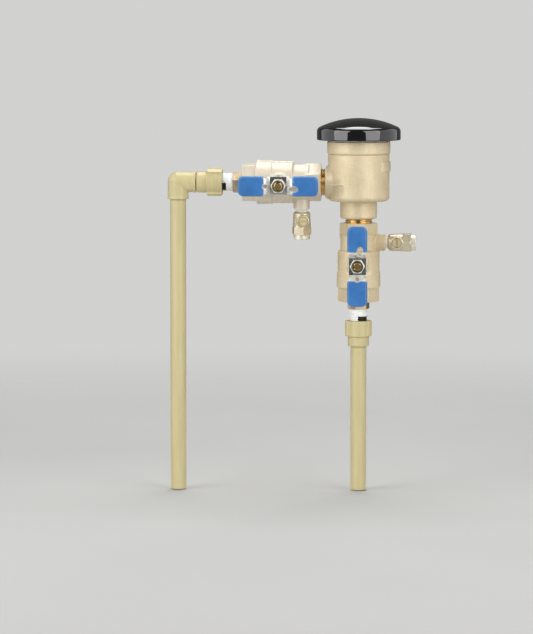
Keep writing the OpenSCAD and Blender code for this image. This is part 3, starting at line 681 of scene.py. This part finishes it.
def valve_place(which):
    """Valve frame, from its near end: +Z back towards the body, -Y out of the stem, +X to the test cock."""
    turn = JOINTS[which + "_valve_turn"]
    y = Vector(turn["axis"])
    z = Vector((0, 0, 1)) if which == "inlet" else Vector((1, 0, 0))
    place = Matrix((y.cross(z), y, z)).transposed().to_4x4()
    place.translation = Vector(turn["pos_m"]) / MM + z * STEM_U
    return place


def cock_place(which):
    """Test cock frame: +X out of the valve, -Y out of the slotted rotor, from the valve's axis."""
    y = -Vector(JOINTS[which + "_cock_turn"]["axis"])
    place = valve_place(which)
    x = place.to_3x3() @ Vector((1, 0, 0))
    made = Matrix((x, y, x.cross(y))).transposed().to_4x4()
    made.translation = (place @ shift(z=-COCK_U)).translation
    return made


def end_cut(radius, at, outward, chamfer, slope, place):
    """Cutter that faces off an end at a height and chamfers it from a radius outwards."""
    back = at - outward * chamfer * slope
    far = at + outward * 6
    wide = radius + chamfer + 6
    return lathe([(radius, at), (radius + chamfer, back), (wide, back), (wide, far)], place)


def flash(place):
    """Ragged parting flash along both sides of a valve's barrel."""
    inverse = place.inverted()

    def move(places, normals):
        local = places @ np.array(inverse.to_3x3()).T + np.array(inverse.translation)
        x, y, u = local[:, 0], local[:, 1], -local[:, 2]
        jag = 0.3 + 0.9 * np.abs(wobble(u, 0.28, 2)) + 0.35 * wobble(u, 0.8, 7)
        near = (np.abs(x) > BARREL_R - 1.5) & (u > 16) & (u < COLLAR_END)
        height = jag * np.exp(-((y - 0.2 * wobble(u, 0.3, 9)) / 0.6) ** 2) * near
        return normals * height[:, None]
    return move


def valve_body(which):
    place = valve_place(which)
    stem = place @ shift(z=-STEM_U) @ FRONT
    cock = place @ shift(z=-COCK_U) @ SIDE
    barrel = lathe([(COLLAR_R, -COLLAR_END - 1), (COLLAR_R, -COLLAR_START - 0.2),
                    (BARREL_R, -COLLAR_START + 0.5), (BARREL_R, -28.6),
                    (VALVE_NECK_R, -26.4), (VALVE_NECK_R, -12)], place)
    hexed = hexagon(NEAR_HEX, -15, 1.5, 0, place)
    boss = lathe([(GLAND_R + 0.5, 8), (GLAND_R, GLAND_D + 1)], stem)
    outlet = lathe([(8.3, 8), (7.8, 24), (7.8, 28.4)], cock)
    obj = soft_solid([barrel, hexed, boss, outlet], voxel=0.5, soften=5, grain=0.08)
    push(obj, flash(place))
    lug = bevel(box((9.6, 11, -10), (13.8, PLATE_D - 0.5, -7), stem), 0.5)
    root = bevel(box((6, 14, -10), (10.4, GLAND_D - 1, -7), stem), 0.4)
    add(obj, lug, root)
    near, far = CAVITY
    way = lathe([(SPIGOT_R + GAP, -70), (SPIGOT_R + GAP, -far), (CAVITY_R, -far), (CAVITY_R, -near),
                 (WAY_R, -near), (WAY_R, -PIPE_SOCKET), (NIPPLE_R + GAP, -PIPE_SOCKET),
                 (NIPPLE_R + GAP, -1.1), (NIPPLE_R + 1.1, 0), (NIPPLE_R + 1.1, 5)], place)
    gland = lathe([(6.4, 9), (6.4, 17.2), (STEM_R + GAP, 17.2), (STEM_R + GAP, 20.2),
                   (PACKING_R + GAP, 20.2), (PACKING_R + GAP, 29)], stem)
    port = lathe([(COCK_PORT_R, 5), (COCK_PORT_R, 17.5),
                  (COCK_THREAD_R + GAP, 17.5), (COCK_THREAD_R + GAP, 31)], cock)
    cut(obj,
        end_cut(corner_r(NEAR_HEX) - 1.4, 0, 1, 4, 0.6, place),
        end_cut(COLLAR_R - 0.5, -COLLAR_END, -1, 3, 1, place),
        end_cut(GLAND_R - 0.5, GLAND_D, 1, 2, 1, stem),
        end_cut(6.9, COCK_FACE, 1, 3, 1, cock), way, gland, port)
    settle(obj, which + "_valve_body", PALE_BRONZE if which == "outlet" else None)


def tailpiece(which):
    place = valve_place(which)
    start = COLLAR_END + GAP
    turn = 30 if which == "outlet" else 0
    blank = hexagon(TAIL_HEX, -VALVE_LEN - 1.5, -start + 1.5, turn, place)
    obj = soft_solid([blank], voxel=0.5, soften=5, grain=0.08)
    corner = corner_r(TAIL_HEX)
    cut(obj, end_cut(corner - 1.6, -VALVE_LEN, -1, 5, 0.6, place),
        end_cut(corner - 1.2, -start, 1, 5, 0.6, place))
    add(obj, lathe([(SPIGOT_R, -start - 2), (SPIGOT_R, -CAVITY[1] - 0.6),
                    (SPIGOT_R - 0.6, -CAVITY[1] - 0.02)], place))
    socket_end = PIPE_SOCKET - VALVE_LEN
    cut(obj, lathe([(NIPPLE_R + 1, -VALVE_LEN - 3), (NIPPLE_R + 1, -VALVE_LEN),
                    (NIPPLE_R + GAP, -VALVE_LEN + 1), (NIPPLE_R + GAP, socket_end),
                    (WAY_R, socket_end), (WAY_R, -50)], place))
    settle(obj, which + "_valve_tailpiece", PALE_BRONZE if which == "outlet" else None)


def hex_nut(across, low, high, turn, place, top_chamfer, low_chamfer, others=(), tilt=28):
    """Crisp hexagon whose corners are turned away at its ends."""
    corner = corner_r(across)
    slope = math.tan(math.radians(tilt))
    cone = lathe([(corner - low_chamfer, low), (corner + 0.01, low + low_chamfer * slope),
                  (corner + 0.01, high - top_chamfer * slope), (corner - top_chamfer, high)], place, 144)
    obj = hexagon(across, low - 1, high + 1, turn, place)
    combine(obj, [cone], "INTERSECT")
    if others:
        add(obj, *others)
    return obj


def handle_path():
    """Centreline of the tee handle from one tip to the other, as (z, d) points with rounded bends."""
    mid = ARM_D + PLATE_T / 2
    low = PLATE_D + PLATE_T / 2
    half = [(0.0, low), (8.4, low)]
    half += [(9.6, low + 0.35), (10.4, low + 1.3), (12.4, mid - 1.3), (13.2, mid - 0.35), (14.4, mid)]
    half += [(20.0, mid), (37.6, mid)]
    return [(-z, d) for z, d in half[:0:-1]] + half


def rounded_section(width, thickness, edge):
    """Corners of a strip's section, rounded, as (across, through)."""
    w, t = width / 2 - edge, thickness / 2 - edge
    points = []
    for cx, cy, start in ((w, t, 0), (-w, t, 90), (-w, -t, 180), (w, -t, 270)):
        points += arc(cx, cy, edge, start, start + 90, 4)
    return points


def sweep(path, sections, place):
    """Skins sections of (across, through) points along a path in the y-z plane given as (z, d)."""
    verts = []
    for k, (z, d) in enumerate(path):
        before, after = path[max(k - 1, 0)], path[min(k + 1, len(path) - 1)]
        along = Vector((after[0] - before[0], after[1] - before[1])).normalized()
        grow = 1.0
        if 0 < k < len(path) - 1:
            first = Vector((z - before[0], d - before[1])).normalized()
            grow = 1 / max(first.dot(along), 0.7)
        for a, t in sections[k]:
            verts.append((a, -(d + along.x * t * grow), z - along.y * t * grow))
    return make("sweep", verts, skin(len(path), len(sections[0])), place)


def stadium(r, low, high):
    """Outline of the padlock slot, as (x, z)."""
    return arc(LOCK_X, high, r, 0, 180, 10) + arc(LOCK_X, low, r, 180, 360, 10)


def front_prism(points, near, far, place):
    """Outline of (x, z) points, raised towards the front from near to far."""
    return prism(points, near, far, place @ FRONT)


def valve_handle(which):
    at = valve_place(which) @ shift(z=-STEM_U)
    path = handle_path()
    fine = []
    for a, b in zip(path, path[1:]):
        steps = 1 if math.dist(a, b) < 3 else 6
        fine += [(a[0] + (b[0] - a[0]) * i / steps, a[1] + (b[1] - a[1]) * i / steps)
                 for i in range(steps)]
    fine.append(path[-1])
    sections = []
    for z, _ in fine:
        width = 18 - 2 * float(ramp(abs(z), 9.4, 11.5))
        tip = max(abs(z) - 34.6, 0)
        sections.append(rounded_section(width - 1.1 * tip ** 1.25, PLATE_T, 0.45))
    obj = sweep(fine, sections, at)
    eye = lathe([(LOCK_R + 1.2, ARM_D + 0.3), (LOCK_R + 1.3, ARM_D + PLATE_T - 0.4),
                 (LOCK_R + 0.9, ARM_D + PLATE_T)], at @ shift(LOCK_X, 0, LOCK_LOW) @ FRONT, 48)
    add(obj, eye)
    hole = box((-3.25, -3.2, 20), (3.25, 3.2, 40), at @ FRONT)
    combine(hole, [rod(STEM_R + GAP, 20, 40, at @ FRONT, 64)], "INTERSECT")
    cut(obj, hole, front_prism(stadium(LOCK_R, LOCK_LOW, LOCK_HIGH), 25, 45, at),
        rod(2, 25, 45, at @ shift(z=-DRAIN_Z) @ FRONT, 48))
    settle(obj, which + "_valve_handle", sharp=40)
    obj.data.materials.append(ZINC_PAINTED_HIGHLIGHT)
    # Painted highlight: the sloped webs and the arms get the brighter zinc as if lit, while the flat plate keeps
    # the handle's own darker material.
    local = at.inverted()
    bend_z = 8.8
    for face in obj.data.polygons:
        face.material_index = int(abs((local @ (face.center / MM)).z) > bend_z)
    return at


def rounded_outline(half_w, low, high, inset):
    """Grip outline as (x, z): big corners at the tip, small ones at the handle's middle."""
    w, lo, hi = half_w - inset, low + inset, high - inset
    big, small = max(5.5 - inset, 0.3), max(2.0 - inset, 0.3)
    points = []
    for x, z, r, start in ((w - big, hi - big, big, 0), (-w + big, hi - big, big, 90),
                           (-w + small, lo + small, small, 180), (w - small, lo + small, small, 270)):
        points += arc(x, z, r, start, start + 90, 10)
    return points


def grip(at, flip):
    """Dipped vinyl sleeve with rolled edges and crowned faces."""
    back, front, edge, crown = 34.4, 41.0, 2.0, 0.36
    low, high, half_w = 14.05, 39.8, 10.0
    roll = []
    for i in range(7):
        a = math.radians(90 * i / 6)
        roll.append((edge * (1 - math.sin(a)), back + edge * (1 - math.cos(a)) + crown))
    swell = [(2.9, 0.1), (4.2, 0.2), (6.0, 0.3), (8.0, crown)]
    rings = [(inset, back + crown - lift) for inset, lift in swell[::-1]] + roll
    rings += [(inset, front + back - d) for inset, d in roll[::-1]]
    rings += [(inset, front - crown + lift) for inset, lift in swell]
    spin = Matrix.Rotation(math.pi, 4, "Y") if flip else Matrix()
    verts = []
    for inset, d in rings:
        outline = rounded_outline(half_w, low, high, inset)
        verts += [(x, -d, z) for x, z in outline]
    return make("grip", verts, skin(len(rings), len(outline)), at @ spin)


def valve_grips(which, at):
    near, far = grip(at, False), grip(at, True)
    side = [(8.05, 10), (8.05, 34.5), (7.4, 36.2), (5.95, 37.65)]
    pocket = side + [(-x, z) for x, z in side[::-1]]
    cut(near, front_prism(pocket, ARM_D - GAP, ARM_D + PLATE_T + GAP, at),
        front_prism(stadium(LOCK_R + 0.9, LOCK_LOW - 3, LOCK_HIGH), 30, 45, at))
    cut(far, front_prism([(x, -z) for x, z in pocket], ARM_D - GAP, ARM_D + PLATE_T + GAP, at),
        rod(3, 30, 45, at @ shift(z=-DRAIN_Z) @ FRONT, 48))
    settle(soft_solid([near, far], voxel=0.36, soften=12), which + "_valve_grips", sharp=60)


def handle_nut(which, at):
    turn = 30 if which == "outlet" else 0
    base = PLATE_D + PLATE_T + 0.02
    obj = hex_nut(13, base, NUT_D, turn, at @ FRONT, 1.5, 0.5, tilt=40)
    bore_r, mouth_r = STEM_TIP_R + GAP, 5.0
    cut(obj, lathe([(bore_r, base - 1), (bore_r, NUT_D - 0.9), (mouth_r, NUT_D), (mouth_r, NUT_D + 1)],
                   at @ FRONT, 96))
    settle(bevel(obj, 0.25, 2, 35), which + "_valve_handle_nut", sharp=28)
    obj.data.materials.append(ZINC_PAINTED_HIGHLIGHT)
    local = at.inverted()
    for face in obj.data.polygons:      # painted highlight on the sides and chamfers; the front face and the bore keep the plain, darker material as painted shade
        spot, way = local @ (face.center / MM), local.to_3x3() @ face.normal
        face.material_index = int(math.hypot(spot.x, spot.z) > mouth_r + 0.3 and way.y > -0.97)


def valve_stem(which, at):
    place = at @ FRONT
    shank = lathe([(6.2, 14.7), (6.2, 16.9), (STEM_R, 16.9), (STEM_R, PLATE_D - 0.1)], place, 96)
    flats = box((-3.2, -6, PLATE_D - 1), (3.2, 6, STEM_END + 1), place)
    tip = threaded(3.45, STEM_TIP_R, 1.25, PLATE_D - 0.5, STEM_END, 0.02, place, 0.9, 72)
    combine(tip, [flats], "INTERSECT")
    tang = bevel(box((-2.5, -4.7, 11.4), (2.5, 4.7, 15.5), place), 0.3)
    settle(add(shank, tip, tang), which + "_valve_stem", sharp=30)


def packing_nut(which, at):
    place = at @ FRONT
    collar = rod(PACKING_R, 23.02, 25.5, place, 96)
    obj = hex_nut(17, GLAND_D + GAP, 28.5, 0, place, 1.0, 0.8, [collar])
    cut(obj, rod(STEM_R + GAP, 20, 31, place, 72))
    settle(bevel(obj, 0.12, 1), which + "_valve_packing_nut", MATERIALS["hex_brass"], sharp=28)


def valve(which):
    valve_body(which)
    tailpiece(which)
    at = valve_handle(which)
    valve_grips(which, at)
    handle_nut(which, at)
    valve_stem(which, at)
    packing_nut(which, at)


# ---- test cocks

def test_cock(which):
    place = cock_place(which)
    along, out = place @ SIDE, place @ shift(ROTOR_X) @ FRONT
    barrel = lathe([(6.4, COCK_NECK), (8.4, COCK_NECK + 1.8), (8.9, COCK_HEX_X + 0.3)], along)
    hexed = hexagon(17.6, COCK_HEX_X - 0.2, COCK_HEX_END + 1, 90, along)
    ears = lathe([(5.4, -8.9), (6.0, 0), (6.1, 9.3), (5.7, 9.8)], out)
    obj = soft_solid([barrel, hexed, ears], voxel=0.34, soften=4, grain=0.08)
    add(obj, rod(COCK_THREAD_R, 18, COCK_NECK + 1, along, 72))
    cut(obj, end_cut(8.7, COCK_HEX_END, 1, 4, 0.6, along),
        lathe([(ROTOR_R + GAP, -6.4), (ROTOR_R + GAP, 9.0), (5.0, 9.5), (5.0, 20)], out, 96),
        rod(2.45, -20, 0, out, 48),
        lathe([(COCK_PORT_R, 17), (COCK_PORT_R, 46), (INSERT_R + GAP, 46), (INSERT_R + GAP, 60)], along, 96))
    settle(obj, which + "_cock_body")

    rotor = lathe([(2.2, -9.9), (2.4, -9.6), (2.4, -6.3), (ROTOR_R, -6.3), (ROTOR_R, 9.5), (4.1, 9.9)],
                  out, 96)
    slot = box((-0.75, -10, 8.3), (0.75, 10, 12), out)
    port = rod(COCK_PORT_R, -10, 10, place @ shift(ROTOR_X), 48)
    grooves = [turned([(3.3, z - 0.6), (6, z - 0.6), (6, z + 0.6), (3.3, z + 0.6)], out, 96)
               for z in (7.2, -5)]
    cut(rotor, slot, port, *grooves)
    settle(bevel(rotor, 0.12, 2, 40), which + "_cock_rotor", ROTOR_BRASS, sharp=35)

    lip = COCK_HEX_END + GAP
    insert = turned([(COCK_PORT_R, 46.1), (INSERT_R, 46.1), (INSERT_R, lip), (7.9, lip),
                     (8.1, COCK_HEX_END + 0.3), (8.1, COCK_END - 0.7), (7.5, COCK_END), (5.8, COCK_END),
                     (5.1, COCK_END - 0.7), (5.1, COCK_END - 8), (COCK_PORT_R, COCK_END - 8)], along)
    settle(insert, which + "_cock_outlet_insert", MATERIALS["cock_bronze"])

    tape = wrap(5.16, 5.55, COCK_FACE + GAP, COCK_NECK - GAP, 0, 360, 0.9, along, 3)
    settle(tape, which + "_cock_thread_tape", sharp=60)


# ---- fittings

def wrap(inner, outer, low, high, start, end, pitch, place, seed):
    """Wound tape: a sleeve whose outside follows the thread under it, with overlapping turns and
    creases. It covers the angles from start to end, in degrees."""
    fold, steps, rows = 0.12, 150, 36
    full = end - start >= 360
    cols = steps if full else int(steps * (end - start) / 360) + 1
    verts, faces = [], []

    def spot(k, i):
        """Angle and height of one point, with the tape's ends and lower edge left ragged."""
        z, across = low + (high - low) * k / rows, i / (cols if full else cols - 1)
        sway = 0 if full else 6 * noise.noise((z * 0.9, seed, 4 * round(across)))
        angle = math.radians(start + (end - start) * across + sway * (1 if across < 0.5 else -1))
        droop = 0.35 * noise.noise((3 * math.cos(angle), 3 * math.sin(angle), seed)) * (1 - k / rows)
        return angle, z + abs(droop)

    for k in range(rows + 1):
        edge = min(k, rows - k) * (high - low) / rows
        for i in range(cols):
            angle, z = spot(k, i)
            lead = (z / pitch - angle / (2 * math.pi)) % 1
            layer = 0.14 * ((z / (pitch * 2.6) + angle / (2 * math.pi)) % 1)
            ridge = 0.11 * math.cos(2 * math.pi * lead)
            crease = 0.1 * noise.noise((4 * math.cos(angle) + seed, 4 * math.sin(angle), z * 0.8))
            r = outer - fold + ridge + layer + crease
            r = max(inner + fold, r) if edge > 0.08 else inner + (r - inner) * 0.55
            r = min(r, outer + fold)
            verts.append((r * math.cos(angle), r * math.sin(angle), z))
    base = len(verts)
    for k in range(rows + 1):
        for i in range(cols):
            angle, z = spot(k, i)
            verts.append((inner * math.cos(angle), inner * math.sin(angle), z))
    spans = cols if full else cols - 1
    for k in range(rows):
        for i in range(spans):
            j = (i + 1) % cols
            a, b = k * cols, (k + 1) * cols
            faces.append([a + i, a + j, b + j, b + i])
            faces.append([base + a + j, base + a + i, base + b + i, base + b + j])
    for k in (0, rows):
        a = k * cols
        for i in range(spans):
            j = (i + 1) % cols
            faces.append([a + i, base + a + i, base + a + j, a + j])
    if not full:
        for i in (0, cols - 1):
            for k in range(rows):
                a, b = k * cols + i, (k + 1) * cols + i
                faces.append([a, b, base + b, base + a])
    return make("wrap", verts, faces, place)


def span(node, place):
    """A node's extent along the local Z axis of place, in millimetres."""
    inverse = place.inverted()
    heights = [(inverse @ (v.co / MM)).z for v in frame["nodes"][node].data.vertices]
    return min(heights), max(heights)


def taped_joint(which):
    """Reducer, small nipple, its tape and the adapter below, all down the valve's waterway."""
    place = valve_place(which)
    reducer_low = span(which + "_reducer", place)[0]
    tape_low, tape_high = span(which + "_thread_tape", place)
    nipple_low, nipple_high = span(which + "_small_nipple", place)

    plug = lathe([(NIPPLE_R - 0.6, -VALVE_LEN - 0.5), (NIPPLE_R, -VALVE_LEN + 0.1),
                  (NIPPLE_R, PIPE_SOCKET - VALVE_LEN - 1.5)], place, 144)
    reducer = hex_nut(19.4, reducer_low, -VALVE_LEN + 0.5, 14.6, place, 0.01, 0.9, [plug])
    cut(reducer, lathe([(SMALL_R + 0.7, reducer_low - 2), (SMALL_R + 0.7, reducer_low),
                        (SMALL_R + GAP, reducer_low + 0.7), (SMALL_R + GAP, reducer_low + 10),
                        (PIPE_BORE, reducer_low + 10), (PIPE_BORE, -60)], place, 144))
    settle(bevel(reducer, 0.2, 2, 25), which + "_reducer", sharp=28)

    nipple = threaded(SMALL_R - 0.75, SMALL_R, SMALL_PITCH, nipple_low, nipple_high, PIPE_BORE, place)
    settle(nipple, which + "_small_nipple", sharp=40)

    step = tape_high - (tape_high - tape_low) * 0.6
    whole = wrap(SMALL_R + 0.03, SMALL_R + 0.5, step - 0.3, tape_high, 0, 360, SMALL_PITCH, place, 1)
    part = wrap(SMALL_R + 0.03, SMALL_R + 0.48, tape_low, step + 0.1, 92, 268, SMALL_PITCH, place, 8)
    settle(join([whole, part]), which + "_thread_tape", sharp=60)
    adapter(which, place)


def adapter(which, place):
    low, high = span(which + "_adapter", place)
    ring_r, ring_low, barrel_r, lug_r, pipe_r = 12.4, high - 15.6, 10.6, 14.2, PIPE_JOINT_R
    ring = rod(ring_r, ring_low, high, place)
    barrel = lathe([(barrel_r - 0.6, low), (barrel_r, low + 0.8), (barrel_r, ring_low + 1)], place)
    lugs = [box((ring_r - 2, -2.6, ring_low + 0.6), (lug_r, 2.6, high - 0.1),
                place @ Matrix.Rotation(math.radians(a), 4, "Z")) for a in (-150, -30, 30, 150)]
    obj = soft_solid([ring, barrel] + lugs, voxel=0.36, soften=3)
    cut(obj, lathe([(pipe_r + 0.7, low - 2), (pipe_r + 0.7, low + 0.1), (pipe_r + GAP, low + 0.8),
                    (pipe_r + GAP, low + 12.6), (5.4, low + 12.6), (5.4, high - 10.2),
                    (SMALL_R + GAP, high - 10.2), (SMALL_R + GAP, high - 0.9),
                    (SMALL_R + 0.8, high - 0.1), (SMALL_R + 0.8, high + 2)], place))
    settle(obj, which + "_adapter")


def elbow():
    low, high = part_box("outlet_riser")
    x = (low.x + high.x) / 2 / MM
    place = shift(x, 0, OUTLET_Z)
    leg_r, leg_x, leg_z, bead = 10.3, 18.0, 17.0, 1.6

    def leg(length):
        return [(leg_r, -2), (leg_r, length - bead - 0.3), (leg_r + 0.35, length - bead),
                (leg_r + 0.35, length - 0.3), (leg_r, length)]

    ball = turned([(0, -leg_r)] + arc(0, 0, leg_r, -85, 85, 34) + [(0, leg_r)], place)
    down = place @ Matrix.Rotation(math.pi, 4, "X")
    obj = soft_solid([ball, lathe(leg(leg_x), place @ SIDE), lathe(leg(leg_z), down)], voxel=0.36, soften=3)
    for at, length in ((place @ SIDE, leg_x), (down, leg_z)):
        cut(obj, lathe([(5.9, 0), (5.9, length - 9), (PIPE_JOINT_R + GAP, length - 9),
                        (PIPE_JOINT_R + GAP, length - 0.7), (PIPE_JOINT_R + 0.7, length - 0.05),
                        (PIPE_JOINT_R + 0.7, length + 2)], at))
    settle(obj, "outlet_elbow")


def riser(node):
    """Plain pipe with its cut end slightly eased."""
    low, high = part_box(node)
    x = (low.x + high.x) / 2 / MM
    top = high.z / MM
    socket = 12.4 if node == "inlet_riser" else 8.8
    step = top - socket - 1
    obj = turned([(PIPE_BORE, 0.3), (PIPE_BORE + 0.3, 0), (PIPE_R - 0.4, 0), (PIPE_R, 0.4), (PIPE_R, step),
                  (PIPE_JOINT_R, step + 0.1), (PIPE_JOINT_R, top - 0.4), (PIPE_JOINT_R - 0.4, top),
                  (PIPE_BORE, top)], shift(x), 144)
    settle(obj, node)


def close_nipples():
    for node, axis, place in (("inlet_close_nipple", 2, Matrix()),
                              ("outlet_close_nipple", 0, AT_BODY @ SIDE)):
        low, high = (corner[axis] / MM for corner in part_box(node))
        nipple = threaded(NIPPLE_R - 1.05, NIPPLE_R, NIPPLE_PITCH, low, high, NIPPLE_BORE, place, 1.2, 160)
        settle(nipple, node, sharp=40)


# ---- inside the casting

def spring(node, radius, wire, turns):
    """Round wire coil with a closed turn at each end."""
    low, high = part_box(node)
    low, high = low.z / MM + wire, high.z / MM - wire
    rings, sides = int(turns * 40), 12
    verts = []
    for k in range(rings + 1):
        t = k / rings
        rise = float(ramp(np.array(t), 0.12, 0.88))
        a = 2 * math.pi * turns * t
        z = low + (high - low) * (0.5 * rise + 0.5 * t)
        for i in range(sides):
            b = 2 * math.pi * i / sides
            r = radius + wire * math.cos(b)
            verts.append((r * math.cos(a), r * math.sin(a), z + wire * math.sin(b)))
    obj = settle(make(node, verts, skin(rings + 1, sides)), node, sharp=60)
    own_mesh(obj)


def from_cad(node, voxel):
    """The CAD node's own shape with its edges moulded round."""
    mesh = frame["nodes"][node].data.copy()
    mesh.transform(Matrix.Scale(1 / MM, 4))
    obj = bpy.data.objects.new(node, mesh)
    bpy.context.scene.collection.objects.link(obj)
    settle(soft_solid([obj], voxel, soften=3), node, sharp=50)


def inside():
    for node, voxel in (("bonnet", 0.42), ("check_poppet", 0.35), ("air_inlet_poppet", 0.35)):
        from_cad(node, voxel)
    for node, radius, wire, turns, joint in (("check_spring", 5, 0.5, 3.5, "check_lift"),
                                             ("air_inlet_spring", 4.6, 0.4, 4, "air_inlet_lift")):
        spring(node, radius, wire, turns)


# ---- assembly

pvb_body()
canopy()
close_nipples()
for side in ("inlet", "outlet"):
    valve(side)
    test_cock(side)
    taped_joint(side)
elbow()
riser("inlet_riser")
riser("outlet_riser")
inside()

for name, obj in frame["nodes"].items():
    if not obj.hide_render:
        obj.data.materials.clear()
        obj.data.materials.append(MATERIALS[SLOT_OF[name]])

# ---- studio

FLOOR_R = 1.8             # metres, as is everything below
rim = [(x, y, 0) for x, y in arc(0, 0, FLOOR_R, 0, 358, 179)]
floor = make("floor", rim, [range(180)], shift(-0.06, 0, -0.0006))
floor.data.materials.append(pale_floor("pale_floor"))

LIT_SPOT = Vector((-0.03, 0, 0.22))


def softbox(name, azimuth, elevation, distance, width, height, radiance, in_gloss=True, in_diffuse=True):
    """Area light that faces the object. Azimuth 0 is in front, 90 on the +X side. Without in_gloss
    it is left out of reflections, and without in_diffuse it shows only in them."""
    a, e = math.radians(azimuth), math.radians(elevation)
    toward = Vector((math.sin(a) * math.cos(e), -math.cos(a) * math.cos(e), math.sin(e)))
    data = bpy.data.lights.new(name, "AREA")
    data.shape = "RECTANGLE"
    data.size, data.size_y = width, height
    data.energy = radiance * math.pi * width * height
    obj = bpy.data.objects.new(name, data)
    obj.location = LIT_SPOT + toward * distance
    obj.rotation_euler = toward.to_track_quat("Z", "Y").to_euler()
    obj.visible_camera = False
    obj.visible_glossy = in_gloss
    obj.visible_diffuse = in_diffuse
    bpy.context.scene.collection.objects.link(obj)


# azimuth, elevation, distance, width, height, radiance
softbox("left_front_softbox", -48, 20, 1.7, 1.3, 1.7, 3.0)
softbox("right_front_softbox", 42, 20, 1.7, 1.3, 1.7, 2.9)
softbox("left_side_softbox", -94, 20, 1.7, 1.95, 1.7, 0.85, in_diffuse=False)
softbox("right_side_softbox", 96, 20, 1.7, 2.5, 1.7, 0.8, in_diffuse=False)
softbox("top_softbox", 180, 75.5, 1.6, 1.05, 1.26, 4.4)
softbox("back_fill", 180, 20, 3, 2.4, 1.6, 3.4, in_gloss=False)


def studio_air():
    """Dim air all round, which the camera sees as a pale backdrop."""
    dim, pale = 0.1, 0.64
    world = bpy.data.worlds.new("studio")
    world.use_nodes = True
    bpy.context.scene.world = world
    nodes, links = world.node_tree.nodes, world.node_tree.links
    seen = nodes.new("ShaderNodeMix")
    seen.inputs["A"].default_value = dim
    seen.inputs["B"].default_value = pale
    links.new(nodes.new("ShaderNodeLightPath").outputs["Is Camera Ray"], seen.inputs["Factor"])
    links.new(seen.outputs["Result"], nodes["Background"].inputs["Strength"])
    nodes["Background"].inputs["Color"].default_value = (1, 0.998, 0.992, 1)


studio_air()

AZIMUTH, ELEVATION, DISTANCE = math.radians(3.2), math.radians(4.8), 4.3
LOOK_AT = Vector((-0.092, 0, 0.173))
FRAME_HEIGHT = 0.634      # how much of the object's plane the picture's height takes in
SENSOR = 36
back = Vector((math.sin(AZIMUTH) * math.cos(ELEVATION), -math.cos(AZIMUTH) * math.cos(ELEVATION),
               math.sin(ELEVATION)))
lens = bpy.data.cameras.new("camera")
lens.sensor_width = SENSOR
lens.lens = SENSOR * DISTANCE / FRAME_HEIGHT
lens.clip_end = 100
camera = bpy.data.objects.new("camera", lens)
camera.location = LOOK_AT + back * DISTANCE
camera.rotation_euler = back.to_track_quat("Z", "Y").to_euler()
bpy.context.scene.collection.objects.link(camera)
bpy.context.scene.camera = camera
bpy.context.scene.view_settings.view_transform = "Standard"
